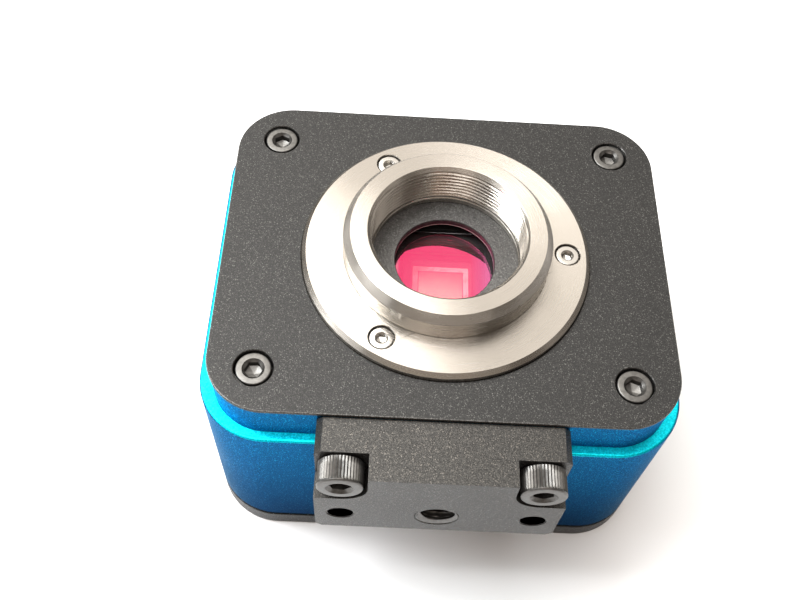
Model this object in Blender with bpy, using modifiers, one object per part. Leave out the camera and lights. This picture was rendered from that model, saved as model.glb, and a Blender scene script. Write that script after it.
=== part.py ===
"""A guide camera with a C lens mount and a tripod bracket, as an assembly of separate pieces.

Run it with: blender --background --python part.py, or from Blender's text editor.

The row frame: +Z runs along the optical axis, out of the lens mount. The origin is where that axis
leaves the flat back cover, on which the camera lies. -Y points at the tripod bracket.
Sizes are in millimetres times MM, which gives the metres that Blender works in.
"""

import math

import bmesh
import bpy
from mathutils import Matrix, Vector

MM = 0.001

# ---------------------------------------------------------------- driving sizes

# Clearances that every fit is worked out from
SEAT = 0.2 * MM  # between two faces that rest on each other
SLIP = 0.2 * MM  # radial, between a screw and its hole or a plug and its opening
RING_FIT = 0.1 * MM  # radial, the lens mount in its recess, which centres it
PORT_CLEARANCE = 0.25 * MM  # between a socket and its cut-out

# Overall
CAMERA_DEPTH = 45.0 * MM  # back cover to the front of the front plate
PLATE_WIDTH = 73.0 * MM
PLATE_HEIGHT = 60.0 * MM
PLATE_CORNER = 9.5 * MM
PLATE_THICKNESS = 4.0 * MM
PLATE_LIP = 0.5 * MM  # the thin rim that covers the body's front edge
BODY_STEP_X = 2.0 * MM  # how far the body stands out past the front plate
BODY_STEP_Y = 1.4 * MM
BODY_CORNER = 11.2 * MM
SHOULDER_DROP = 7.6 * MM  # front of the plate to the body's shoulder
LIP_OVERHANG = 0.2 * MM

# Body shell
LOWER_WALL = 3.0 * MM
UPPER_WALL = 3.2 * MM
SHOULDER_ROOF = 2.0 * MM  # metal under the shoulder
POST_MARGIN = 4.45 * MM  # screw axis to the inner faces of a corner post
OPENING_CORNER = 5.0 * MM
CAVITY_CORNER = 1.5 * MM

# Front plate screws, M3 cap heads sunk flush
COVER_SCREW_INSET_X = 7.4 * MM
COVER_SCREW_INSET_Y = 7.2 * MM
M3_RADIUS = 1.5 * MM
M3_HEAD_RADIUS = 2.75 * MM
M3_HEAD = 3.0 * MM
M3_SOCKET = 2.5 * MM
FRONT_SCREW_LENGTH = 10.0 * MM
BACK_SCREW_LENGTH = 8.0 * MM

# C mount ring
RING_RECESS = 2.0 * MM  # depth of the round recess in the front plate
RING_FLANGE_RISE = 1.4 * MM  # flange above the plate
RING_FLANGE_BEVEL = 0.7 * MM
RING_RISE = 6.55 * MM  # ring face above the plate
RING_BEVEL_OUT = 1.1 * MM
RING_BEVEL_DROP = 1.35 * MM
RING_BORE = 12.3 * MM  # crest radius of the one-inch 32-turn thread
RING_WALL = 4.55 * MM  # bore to the outside of the neck
RING_FLANGE_WIDTH = 6.75 * MM  # neck to the edge of the flange
RING_LEAD_IN = 0.7 * MM
FLANGE_DISTANCE = 17.526 * MM  # ring face to sensor, the C mount standard
RING_SCREW_GAP = 1.15 * MM  # neck to the side of a screw's head
RING_SCREW_COUNT = 3
M2_RADIUS = 0.95 * MM
M2_HEAD_RADIUS = 1.9 * MM
M2_HEAD = 1.9 * MM
M2_SOCKET = 1.5 * MM
RING_SCREW_LENGTH = 4.0 * MM

# Opening behind the ring, window and its holder
PLATE_HOLE = 8.3 * MM
PLATE_HOLE_LAND = 1.2 * MM  # length of the narrow part of the hole
PLATE_WELL_CLEARANCE = 0.4 * MM  # round the glass's corners
PLATE_PAD = 1.0 * MM  # thicker round middle of the plate
PLATE_PAD_INSET = 1.0 * MM  # plug's edge to that middle
WINDOW_DROP = 4.75 * MM  # front of the plate to the glass
WINDOW_X = 18.0 * MM
WINDOW_Y = 15.3 * MM
WINDOW_THICKNESS = 1.1 * MM
SEAL_THICKNESS = 0.5 * MM
SEAL_BORDER = 1.6 * MM
HOLDER_BORDER_X = 6.0 * MM  # glass to the edge of its holder
HOLDER_BORDER_Y = 5.35 * MM
HOLDER_FLOOR = 1.7 * MM
HOLDER_POCKET_MARGIN = 0.9 * MM
HOLDER_SCREW_INSET = 2.2 * MM  # screw axis to the holder's edges
HOLDER_SCREW_LENGTH = 6.0 * MM

# Sensor and its board
BOARD_THICKNESS = 1.6 * MM
BOARD_CORNER = 1.5 * MM
SENSOR_SIDE = 13.0 * MM
SENSOR_HEIGHT = 2.1 * MM
SENSOR_RIM = 1.0 * MM
SENSOR_LID = 0.5 * MM
DIE_X = 9.8 * MM
DIE_Y = 9.2 * MM
DIE_THICKNESS = 0.5 * MM
DIE_SINK = 1.0 * MM  # top of the package to the die's surface
SENSOR_BOARD_MARGIN = 3.5 * MM  # its posts' axes to its edges
SENSOR_POST_OFFSET_X = 1.0 * MM  # window holder's edge to the post's axis
SENSOR_POST_OFFSET_Y = 3.0 * MM
SENSOR_POST_FLATS = 4.0 * MM
BOARD_SCREW_LENGTH = 4.0 * MM
BOARD_SCREW_HEAD = 1.3 * MM
STUD = 2.0 * MM  # threaded end of a standoff

# Main board and what is on it
MAIN_BOARD_DROP = 9.2 * MM  # sensor board's back to the main board
BOARD_CLEARANCE = 0.5 * MM  # main board to the body's walls and posts
MAIN_POST_INSET = 4.0 * MM
MAIN_POST_FLATS = 5.0 * MM
STACK_CONNECTOR = (26.0 * MM, 5.2 * MM)
STACK_CONNECTOR_Y = 8.0 * MM
CONTROLLER_SIDE = 17.0 * MM
CHIP_THICKNESS = 1.6 * MM
MEMORY = (13.0 * MM, 9.0 * MM, 1.2 * MM)
MEMORY_AT = (-17.0 * MM, -6.0 * MM)
HEAT_PAD_THICKNESS = 1.0 * MM
HEAT_BLOCK_SIDE = 20.0 * MM
LED = (2.0 * MM, 2.0 * MM, 1.0 * MM)
LIGHT_PIPE_RADIUS = 1.5 * MM
LIGHT_PIPE_INSET = 3.9 * MM  # main board's edge to the lamp

# Back cover and its ports
BACK_THICKNESS = 4.0 * MM
GASKET_THICKNESS = 0.5 * MM
GASKET_INSET = 0.3 * MM
PORT_SINK = 0.4 * MM  # socket face below the back face
USB_X = 19.5 * MM
USB_WIDTH = 12.0 * MM
USB_HEIGHT = 10.6 * MM
USB_WALL = 0.9 * MM
USB_BLOCK = 10.0 * MM  # solid part behind the pocket
USB_TONGUE = (5.6 * MM, 3.2 * MM)
GUIDE_X = -19.5 * MM
GUIDE_WIDTH = 13.4 * MM
GUIDE_HEIGHT = 15.0 * MM
GUIDE_SOCKET_X = 9.8 * MM
GUIDE_SOCKET_Y = 7.4 * MM
GUIDE_BLOCK = 7.5 * MM
GUIDE_LATCH = (4.4 * MM, 2.6 * MM)

# Tripod bracket, a block across the body's lower side
BRACKET_WIDTH = 38.0 * MM
BRACKET_TALL = 20.0 * MM
BRACKET_DROP = 0.75 * MM  # front of the plate to the bracket's top
BRACKET_REACH = 8.3 * MM  # how far it stands out past the body
BRACKET_CHAMFER = 1.0 * MM
BRACKET_SCREW_INSET = 4.0 * MM  # screw axis to the bracket's side
BRACKET_SCREW_DROP = 4.4 * MM  # front of the plate to the screw axis
NOTCH_CLEARANCE = 0.6 * MM  # round a bracket screw's head
M4_RADIUS = 2.0 * MM
M4_HEAD_RADIUS = 3.5 * MM
M4_HEAD = 4.0 * MM
M4_SOCKET = 3.0 * MM
BRACKET_SCREW_LENGTH = 8.0 * MM
TRIPOD_HOLE = 3.1 * MM  # quarter-inch tripod thread, between its crest and its root
TRIPOD_HOLE_DEPTH = 6.5 * MM
SIDE_HOLE = 1.9 * MM  # M4 thread, between its crest and its root
SIDE_HOLE_DEPTH = 6.0 * MM
HOLE_ROW_RISE = 6.0 * MM  # bracket's bottom to the three holes

# Roundness
CORNER_STEPS = 8
RING_STEPS = 64
HOLE_STEPS = 24
SCREW_STEPS = 20
SMALL_STEPS = 12
PAST = 1.0 * MM  # how far a cutter runs past what it cuts

# ---------------------------------------------------------------- levels along the optical axis

Z_PLATE = CAMERA_DEPTH
Z_LIP = Z_PLATE - PLATE_LIP
Z_PLUG = Z_PLATE - PLATE_THICKNESS
Z_PAD = Z_PLUG - PLATE_PAD
Z_RECESS = Z_PLATE - RING_RECESS
Z_RING_FACE = Z_PLATE + RING_RISE
Z_FLANGE = Z_PLATE + RING_FLANGE_RISE
Z_SHOULDER = Z_PLATE - SHOULDER_DROP
Z_SHELL_TOP = Z_LIP - SEAT
Z_GASKET = BACK_THICKNESS + SEAT
Z_SHELL_BOTTOM = Z_GASKET + GASKET_THICKNESS + SEAT
Z_POST_TOP = Z_PLUG - SEAT
Z_WINDOW = Z_PLATE - WINDOW_DROP
Z_WINDOW_BACK = Z_WINDOW - WINDOW_THICKNESS
Z_SEAL = Z_WINDOW_BACK - SEAT - SEAL_THICKNESS
Z_HOLDER_TOP = Z_PAD - SEAT
Z_POCKET = Z_SEAL - SEAT
Z_HOLDER = Z_POCKET - HOLDER_FLOOR
Z_DIE = Z_RING_FACE - FLANGE_DISTANCE
Z_SENSOR_TOP = Z_DIE + DIE_SINK
Z_SENSOR = Z_SENSOR_TOP - SENSOR_HEIGHT
Z_SENSOR_BOARD_TOP = Z_SENSOR - SEAT
Z_SENSOR_BOARD = Z_SENSOR_BOARD_TOP - BOARD_THICKNESS
Z_MAIN_TOP = Z_SENSOR_BOARD - MAIN_BOARD_DROP
Z_MAIN = Z_MAIN_TOP - BOARD_THICKNESS
Z_CONTROLLER = Z_MAIN - SEAT - CHIP_THICKNESS
Z_HEAT_PAD = Z_CONTROLLER - SEAT - HEAT_PAD_THICKNESS
Z_HEAT_BLOCK = Z_HEAT_PAD - SEAT

# ---------------------------------------------------------------- places across it

PLATE_HALF = Vector((PLATE_WIDTH / 2, PLATE_HEIGHT / 2))
BODY_HALF = PLATE_HALF + Vector((BODY_STEP_X, BODY_STEP_Y))
UPPER_HALF = PLATE_HALF - Vector((LIP_OVERHANG, LIP_OVERHANG))
OPENING_HALF = UPPER_HALF - Vector((UPPER_WALL, UPPER_WALL))
PLUG_HALF = OPENING_HALF - Vector((SLIP, SLIP))
CAVITY_HALF = BODY_HALF - Vector((LOWER_WALL, LOWER_WALL))
COVER_SCREW = PLATE_HALF - Vector((COVER_SCREW_INSET_X, COVER_SCREW_INSET_Y))
POST_INNER = COVER_SCREW - Vector((POST_MARGIN, POST_MARGIN))
BRACKET_FACE = -(BODY_HALF.y + BRACKET_REACH)
BRACKET_TOP = Z_PLATE - BRACKET_DROP
BRACKET_BOTTOM = BRACKET_TOP - BRACKET_TALL
BRACKET_SCREW_Z = Z_PLATE - BRACKET_SCREW_DROP
BRACKET_SCREW_X = BRACKET_WIDTH / 2 - BRACKET_SCREW_INSET
NOTCH_RADIUS = M4_HEAD_RADIUS + NOTCH_CLEARANCE
NOTCH_BACK = BRACKET_FACE + M4_HEAD + SEAT
HOLE_ROW_Z = BRACKET_BOTTOM + HOLE_ROW_RISE
MAIN_BOARD = Vector((CAVITY_HALF.x - BOARD_CLEARANCE, POST_INNER.y - BOARD_CLEARANCE))
MAIN_POST = MAIN_BOARD - Vector((MAIN_POST_INSET, MAIN_POST_INSET))
LIGHT_PIPE_Y = MAIN_BOARD.y - LIGHT_PIPE_INSET
RING_NECK_RADIUS = RING_BORE + RING_WALL
RING_FLANGE_RADIUS = RING_NECK_RADIUS + RING_FLANGE_WIDTH
RING_SCREW_CIRCLE = RING_NECK_RADIUS + RING_SCREW_GAP + M2_HEAD_RADIUS
PLATE_WELL = Vector((WINDOW_X / 2, WINDOW_Y / 2)).length + PLATE_WELL_CLEARANCE
HOLDER = Vector((WINDOW_X / 2 + HOLDER_BORDER_X, WINDOW_Y / 2 + HOLDER_BORDER_Y))
HOLDER_SCREW = HOLDER - Vector((HOLDER_SCREW_INSET, HOLDER_SCREW_INSET))
SENSOR_POST = HOLDER + Vector((SENSOR_POST_OFFSET_X, SENSOR_POST_OFFSET_Y))
SENSOR_BOARD = SENSOR_POST + Vector((SENSOR_BOARD_MARGIN, SENSOR_BOARD_MARGIN))
CORNERS = ((1, 1), (-1, 1), (-1, -1), (1, -1))

# ---------------------------------------------------------------- scene and materials

for old in list(bpy.data.objects):
    bpy.data.objects.remove(old, do_unlink=True)

camera_parts = bpy.data.collections.new("guide_camera")
cutters = bpy.data.collections.new("cutters")
for made in (camera_parts, cutters):
    bpy.context.scene.collection.children.link(made)

FINISHES = {  # base colour, roughness, metallic
    "black_anodised": ((0.035, 0.034, 0.033), 0.45, 0.6),
    "blue_anodised": ((0.01, 0.16, 0.45), 0.32, 0.9),
    "turned_steel": ((0.78, 0.74, 0.70), 0.2, 1.0),
    "black_steel": ((0.05, 0.05, 0.05), 0.35, 0.9),
    "bright_steel": ((0.7, 0.68, 0.64), 0.25, 1.0),
    "brass": ((0.72, 0.53, 0.25), 0.3, 1.0),
    "rubber": ((0.02, 0.02, 0.02), 0.85, 0.0),
    "window_glass": ((0.85, 0.08, 0.22), 0.05, 0.0),
    "clear_glass": ((0.85, 0.9, 0.92), 0.05, 0.0),
    "circuit_board": ((0.02, 0.12, 0.06), 0.5, 0.0),
    "ceramic": ((0.16, 0.14, 0.14), 0.6, 0.0),
    "silicon": ((0.25, 0.2, 0.24), 0.2, 0.5),
    "black_plastic": ((0.03, 0.03, 0.03), 0.5, 0.0),
    "blue_plastic": ((0.02, 0.12, 0.55), 0.45, 0.0),
    "heat_pad": ((0.45, 0.5, 0.55), 0.9, 0.0),
}


def finish(name):
    """The material of that finish, made the first time it is asked for."""
    material = bpy.data.materials.get(name)
    if material is None:
        colour, roughness, metallic = FINISHES[name]
        material = bpy.data.materials.new(name)
        material.use_nodes = True
        shader = material.node_tree.nodes["Principled BSDF"]
        shader.inputs["Base Color"].default_value = (*colour, 1.0)
        shader.inputs["Roughness"].default_value = roughness
        shader.inputs["Metallic"].default_value = metallic
    return material


# ---------------------------------------------------------------- modelling helpers


def add_object(name, mesh, group, at=(0, 0, 0), turn=None):
    obj = bpy.data.objects.new(name, mesh)
    group.objects.link(obj)
    obj.location = at
    if turn is not None:
        obj.rotation_euler = turn
    if group is cutters:
        obj.hide_render = True
        obj.display_type = "WIRE"
    return obj


def mesh_from(bm, name):
    mesh = bpy.data.meshes.new(name)
    bm.to_mesh(mesh)
    bm.free()
    return mesh


def block(name, half, low, high, group, corner=0.0, at=(0, 0), steps=CORNER_STEPS):
    """A block from z low to z high around the point at, with its upright edges rounded to corner."""
    bm = bmesh.new()
    bmesh.ops.create_cube(bm, size=2)
    bmesh.ops.scale(bm, vec=(half[0], half[1], (high - low) / 2), verts=bm.verts)
    if corner:
        upright = [e for e in bm.edges if abs(e.verts[0].co.z - e.verts[1].co.z) > MM / 10]
        bmesh.ops.bevel(bm, geom=upright, offset=corner, segments=steps, profile=0.5, affect="EDGES")
    return add_object(name, mesh_from(bm, name), group, (at[0], at[1], (low + high) / 2))


def rod(name, radius, low, high, group, at=(0, 0), steps=HOLE_STEPS):
    """A cylinder, or with steps=6 a hexagon, along Z from low to high."""
    bm = bmesh.new()
    bmesh.ops.create_cone(
        bm, cap_ends=True, segments=steps, radius1=radius, radius2=radius, depth=high - low
    )
    return add_object(name, mesh_from(bm, name), group, (at[0], at[1], (low + high) / 2))


def ring_rod(name, radius, low, high):
    """A smooth cutter on the optical axis."""
    return rod(name, radius, low, high, cutters, steps=RING_STEPS)


def small_bore(name, radius, low, high, at):
    """A cutter along Z for one screw's shank, stud or thread."""
    return rod(name, radius, low, high, cutters, at, SMALL_STEPS)


def rod_along_y(name, radius, near, far, group, x, z, steps=HOLE_STEPS):
    """A cylinder along Y from near to far."""
    obj = rod(name, radius, 0, far - near, group, steps=steps)
    obj.rotation_euler = (math.radians(90), 0, 0)
    obj.location = (x, (near + far) / 2, z)
    return obj


def turned(name, profile, steps, group, at=(0, 0, 0)):
    """A shape turned about Z from a closed profile of (radius, z), which runs down its outer side."""
    bm = bmesh.new()
    points = [bm.verts.new((radius, 0, z)) for radius, z in profile]
    for first, second in zip(points, points[1:] + points[:1]):
        if first.co.x > 0 or second.co.x > 0:
            bm.edges.new((first, second))
    obj = add_object(name, mesh_from(bm, name), group, at)
    screw = obj.modifiers.new("turn", "SCREW")
    screw.steps = screw.render_steps = steps
    screw.use_merge_vertices = True
    screw.merge_threshold = MM / 1000
    return obj


def combine(obj, other, operation):
    boolean = obj.modifiers.new(f"{operation.lower()} {other.name}", "BOOLEAN")
    boolean.operation = operation
    boolean.object = other
    return obj


def cut(obj, *tools):
    for tool in tools:
        combine(obj, tool, "DIFFERENCE")
    return obj


def join(obj, *tools):
    for tool in tools:
        combine(obj, tool, "UNION")
    return obj


def baked(obj, *helpers):
    """The object's evaluated mesh. The object and its helpers are removed."""
    bpy.context.view_layer.update()
    graph = bpy.context.evaluated_depsgraph_get()
    mesh = bpy.data.meshes.new_from_object(obj.evaluated_get(graph))
    for used in (obj, *helpers):
        bpy.data.objects.remove(used, do_unlink=True)
    return mesh


def surface(obj, finish_name, smooth=True):
    """Gives the piece its finish and shades its round faces smooth."""
    if not obj.data.materials:
        obj.data.materials.append(finish(finish_name))
    if smooth:
        obj.data.shade_smooth()
        obj.data.set_sharp_from_angle(angle=math.radians(30))
    return obj


def cap_screw(name, head_radius, head, radius, length, socket=0.0, steps=SCREW_STEPS):
    """The mesh of a cap screw along Z: its head sits on z = 0 and its shank runs down."""
    edge = head / 10
    profile = [
        (0, head),
        (head_radius - edge, head),
        (head_radius, head - edge),
        (head_radius, 0),
        (radius, 0),
        (radius, -length),
        (0, -length),
    ]
    screw = turned(name, profile, steps, camera_parts)
    if not socket:
        return baked(screw)
    across_corners = socket / math.cos(math.radians(30)) / 2
    hexagon = rod(name + "_socket", across_corners, head / 2, head + PAST, cutters, steps=6)
    return baked(cut(screw, hexagon), hexagon)


def place_copies(name, mesh, places, finish_name, turn=None):
    """One object for each place, all sharing one mesh. Their names are counted from 1."""
    for number, place in enumerate(places, start=1):
        surface(add_object(f"{name}_{number}", mesh, camera_parts, place, turn), finish_name)


def at_corners(offset, z=None):
    """The four points (+-x, +-y), with a z if one is given."""
    spots = [(sx * offset[0], sy * offset[1]) for sx, sy in CORNERS]
    return spots if z is None else [(x, y, z) for x, y in spots]


# ---------------------------------------------------------------- housing


def make_front_plate():
    """The black front plate: a thin lip over the body's edge, a plug in its opening, a thick middle."""
    plate = block("front_plate", PLATE_HALF, Z_LIP, Z_PLATE, camera_parts, PLATE_CORNER)
    plug = block("plate_plug", PLUG_HALF, Z_PLUG, Z_PLATE - PLATE_LIP / 2, cutters, OPENING_CORNER - SLIP)
    pad = ring_rod("plate_pad", PLUG_HALF.y - PLATE_PAD_INSET, Z_PAD, Z_PLUG + MM)
    recess = ring_rod("ring_recess", RING_FLANGE_RADIUS + RING_FIT, Z_RECESS, Z_PLATE + PAST)
    hole = ring_rod("plate_hole", PLATE_HOLE, Z_PAD - PAST, Z_PLATE)
    well = ring_rod("plate_well", PLATE_WELL, Z_PAD - PAST, Z_RECESS - PLATE_HOLE_LAND)
    join(plate, plug, pad)
    cut(plate, recess, hole, well)
    for number, spot in enumerate(at_corners(COVER_SCREW)):
        floor = Z_PLATE - M3_HEAD - SEAT
        sink = rod(f"plate_sink_{number}", M3_HEAD_RADIUS + SLIP, floor, Z_PLATE + PAST, cutters, spot)
        bore = rod(f"plate_bore_{number}", M3_RADIUS + SLIP, Z_PLUG - PAST, Z_PLATE, cutters, spot)
        cut(plate, sink, bore)
    stud_holes = [*ring_screw_spots(), *at_corners(HOLDER_SCREW), *at_corners(SENSOR_POST)]
    for number, spot in enumerate(stud_holes):
        # Only the ring's screws come from the front. The others end short of the recess.
        high = Z_RECESS + PAST if number < RING_SCREW_COUNT else Z_RECESS - MM / 2
        cut(plate, small_bore(f"plate_tapped_{number}", M2_RADIUS + SLIP, Z_PAD - PAST, high, spot))
    return surface(plate, "black_anodised")


def make_body_shell():
    """The blue body: a box with a stepped front edge, posts in its corners and two cavities."""
    shell = block("body_shell", BODY_HALF, Z_SHELL_BOTTOM, Z_SHOULDER, camera_parts, BODY_CORNER)
    upper_corner = PLATE_CORNER - LIP_OVERHANG
    upper = block("shell_upper", UPPER_HALF, Z_SHOULDER - MM, Z_SHELL_TOP, cutters, upper_corner)
    join(shell, upper)
    ceiling = Z_SHOULDER - SHOULDER_ROOF
    for level, half, low, high in (
        ("lower", CAVITY_HALF, Z_SHELL_BOTTOM - PAST, ceiling),
        ("upper", OPENING_HALF, ceiling - PAST, Z_PLUG),
    ):
        wide = (half.x, POST_INNER.y)
        tall = (POST_INNER.x, half.y)
        cut(
            shell,
            block(f"cavity_wide_{level}", wide, low, high, cutters, CAVITY_CORNER, steps=3),
            block(f"cavity_tall_{level}", tall, low, high, cutters, CAVITY_CORNER, steps=3),
        )
    cut(shell, block("plug_opening", OPENING_HALF, Z_POST_TOP, Z_SHELL_TOP + PAST, cutters, OPENING_CORNER))
    for number, spot in enumerate(at_corners(COVER_SCREW)):
        low, high = Z_SHELL_BOTTOM - PAST, Z_POST_TOP + PAST
        cut(shell, small_bore(f"post_thread_{number}", M3_RADIUS + SLIP, low, high, spot))
    for side in (-1, 1):
        near, far = -UPPER_HALF.y - PAST, -OPENING_HALF.y + PAST
        x, z = side * BRACKET_SCREW_X, BRACKET_SCREW_Z
        cut(shell, rod_along_y(f"side_thread_{side}", M4_RADIUS + SLIP, near, far, cutters, x, z))
    return surface(shell, "blue_anodised")


def make_back_cover():
    """The flat back cover, with the two port cut-outs and the block that cools the controller."""
    cover = block("back_cover", BODY_HALF, 0, BACK_THICKNESS, camera_parts, BODY_CORNER)
    heat_half = (HEAT_BLOCK_SIDE / 2, HEAT_BLOCK_SIDE / 2)
    join(cover, block("heat_block", heat_half, BACK_THICKNESS - MM, Z_HEAT_BLOCK, cutters))
    low, high = -PAST, BACK_THICKNESS + PAST
    for name, x, width, height in (
        ("usb", USB_X, USB_WIDTH, USB_HEIGHT),
        ("guide", GUIDE_X, GUIDE_WIDTH, GUIDE_HEIGHT),
    ):
        half = (width / 2 + PORT_CLEARANCE, height / 2 + PORT_CLEARANCE)
        cut(cover, block(f"{name}_cut_out", half, low, high, cutters, at=(x, 0)))
    for number, spot in enumerate(at_corners(COVER_SCREW)):
        sink = rod(f"back_sink_{number}", M3_HEAD_RADIUS + SLIP, low, M3_HEAD + SEAT, cutters, spot)
        cut(cover, sink, small_bore(f"back_bore_{number}", M3_RADIUS + SLIP, low, high, spot))
    for number, spot in enumerate(at_corners(MAIN_POST)):
        floor = BACK_THICKNESS - STUD - SEAT
        cut(cover, small_bore(f"back_tapped_{number}", M3_RADIUS + SLIP, floor, high, spot))
    pipe_hole = small_bore("pipe_hole", LIGHT_PIPE_RADIUS + SLIP, low, high, (0, LIGHT_PIPE_Y))
    return surface(cut(cover, pipe_hole), "black_anodised")


def make_back_gasket():
    """A flat rubber frame between the back cover and the body's wall."""
    outer = BODY_HALF - Vector((GASKET_INSET, GASKET_INSET))
    inner = CAVITY_HALF + Vector((GASKET_INSET, GASKET_INSET))
    low, high = Z_GASKET, Z_GASKET + GASKET_THICKNESS
    gasket = block("back_gasket", outer, low, high, camera_parts, BODY_CORNER - GASKET_INSET)
    inner_corner = BODY_CORNER - LOWER_WALL + GASKET_INSET
    window = block("gasket_window", inner, low - PAST, high + PAST, cutters, inner_corner)
    return surface(cut(gasket, window), "rubber")


def ring_screw_spots():
    angles = [math.tau * n / RING_SCREW_COUNT for n in range(RING_SCREW_COUNT)]
    return [(RING_SCREW_CIRCLE * math.cos(a), RING_SCREW_CIRCLE * math.sin(a)) for a in angles]


def make_c_mount_ring():
    """The turned steel lens mount: a flange sunk in the plate, a neck and a one-inch bore."""
    bottom = Z_RECESS + SEAT
    profile = [
        (RING_NECK_RADIUS - RING_BEVEL_OUT, Z_RING_FACE),
        (RING_NECK_RADIUS, Z_RING_FACE - RING_BEVEL_DROP),
        (RING_NECK_RADIUS, Z_FLANGE),
        (RING_FLANGE_RADIUS - RING_FLANGE_BEVEL, Z_FLANGE),
        (RING_FLANGE_RADIUS, Z_FLANGE - RING_FLANGE_BEVEL),
        (RING_FLANGE_RADIUS, bottom),
        (RING_BORE, bottom),
        (RING_BORE, Z_RING_FACE - RING_LEAD_IN),
        (RING_BORE + RING_LEAD_IN, Z_RING_FACE),
    ]
    ring = turned("c_mount_ring", profile, RING_STEPS, camera_parts)
    floor, top = Z_FLANGE - M2_HEAD - 2 * SEAT, Z_FLANGE + PAST
    for number, spot in enumerate(ring_screw_spots()):
        sink = rod(f"ring_sink_{number}", M2_HEAD_RADIUS + SLIP, floor, top, cutters, spot, SCREW_STEPS)
        bore = small_bore(f"ring_bore_{number}", M2_RADIUS + SLIP, bottom - PAST, Z_FLANGE, spot)
        cut(ring, sink, bore)
    return surface(ring, "turned_steel")


def corner_notch(side):
    """The cutter of one screw notch: round below the screw's head, open above it and beside it."""
    inner = side * (BRACKET_SCREW_X - NOTCH_RADIUS)
    outer = side * (BRACKET_WIDTH / 2 + PAST)
    low, high = BRACKET_SCREW_Z - NOTCH_RADIUS, BRACKET_TOP + PAST
    near, far = BRACKET_FACE - PAST, NOTCH_BACK
    bm = bmesh.new()
    bmesh.ops.create_cube(bm, size=1)
    bmesh.ops.scale(bm, vec=(abs(outer - inner), far - near, high - low), verts=bm.verts)
    centre = ((inner + outer) / 2, (near + far) / 2, (low + high) / 2)
    bmesh.ops.translate(bm, vec=centre, verts=bm.verts)
    near_corner = [v for v in bm.verts if (v.co.xz - Vector((inner, low))).length < MM / 10]
    corner = [e for e in bm.edges if all(v in near_corner for v in e.verts)]
    bmesh.ops.bevel(
        bm, geom=corner, offset=NOTCH_RADIUS, segments=CORNER_STEPS, profile=0.5, affect="EDGES"
    )
    return add_object(f"notch_{side}", mesh_from(bm, "notch"), cutters)


def make_tripod_bracket():
    """The black block under the camera: two notched corners for its screws, three tapped holes below."""
    # The top reaches over the body's shoulder to the narrower wall under the plate.
    inner, back = -(UPPER_HALF.y + SEAT), -(BODY_HALF.y + SEAT)
    bm = bmesh.new()
    bmesh.ops.create_cube(bm, size=2)
    size = (BRACKET_WIDTH / 2, (inner - BRACKET_FACE) / 2, BRACKET_TALL / 2)
    bmesh.ops.scale(bm, vec=size, verts=bm.verts)
    long_edges = [e for e in bm.edges if abs(e.verts[0].co.y - e.verts[1].co.y) > MM / 10]
    bmesh.ops.bevel(bm, geom=long_edges, offset=BRACKET_CHAMFER, segments=1, profile=0.5, affect="EDGES")
    centre = (0, (inner + BRACKET_FACE) / 2, (BRACKET_TOP + BRACKET_BOTTOM) / 2)
    bracket = add_object("tripod_bracket", mesh_from(bm, "tripod_bracket"), camera_parts, centre)
    step_half = (BRACKET_WIDTH / 2 + PAST, (inner - back) / 2 + PAST / 2)
    step_at = (0, (inner + back + PAST) / 2)
    under = (BRACKET_BOTTOM - PAST, Z_SHOULDER + SEAT)
    cut(bracket, block("bracket_step", step_half, *under, cutters, at=step_at))
    for side in (-1, 1):
        x = side * BRACKET_SCREW_X
        face = BRACKET_FACE - PAST
        bore = rod_along_y(
            f"bracket_bore_{side}", M4_RADIUS + SLIP, face, inner + PAST, cutters, x, BRACKET_SCREW_Z, 16
        )
        far = BRACKET_FACE + SIDE_HOLE_DEPTH
        tapped = rod_along_y(f"side_hole_{side}", SIDE_HOLE, face, far, cutters, x, HOLE_ROW_Z)
        cut(bracket, corner_notch(side), bore, tapped)
    near, far = BRACKET_FACE - PAST, BRACKET_FACE + TRIPOD_HOLE_DEPTH
    cut(bracket, rod_along_y("tripod_hole", TRIPOD_HOLE, near, far, cutters, 0, HOLE_ROW_Z, steps=32))
    return surface(bracket, "black_anodised")


def make_housing_screws():
    """The screws that show: four front, four back, three in the ring and two in the bracket."""
    front = cap_screw("m3_front", M3_HEAD_RADIUS, M3_HEAD - SEAT, M3_RADIUS, FRONT_SCREW_LENGTH, M3_SOCKET)
    place_copies("front_plate_screw", front, at_corners(COVER_SCREW, Z_PLATE - M3_HEAD), "black_steel")
    back = cap_screw("m3_back", M3_HEAD_RADIUS, M3_HEAD - SEAT, M3_RADIUS, BACK_SCREW_LENGTH, M3_SOCKET)
    upside_down = (math.pi, 0, 0)
    place_copies("back_cover_screw", back, at_corners(COVER_SCREW, M3_HEAD), "black_steel", upside_down)
    ring = cap_screw("m2_ring", M2_HEAD_RADIUS, M2_HEAD, M2_RADIUS, RING_SCREW_LENGTH, M2_SOCKET)
    seat = Z_FLANGE - M2_HEAD - SEAT
    place_copies("ring_screw", ring, [(x, y, seat) for x, y in ring_screw_spots()], "bright_steel")
    bracket = cap_screw("m4_bracket", M4_HEAD_RADIUS, M4_HEAD, M4_RADIUS, BRACKET_SCREW_LENGTH, M4_SOCKET)
    facing_down = (math.radians(90), 0, 0)
    y = BRACKET_FACE + M4_HEAD
    places = [(side * BRACKET_SCREW_X, y, BRACKET_SCREW_Z) for side in (-1, 1)]
    place_copies("bracket_screw", bracket, places, "black_steel", facing_down)


# ---------------------------------------------------------------- window and sensor


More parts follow.
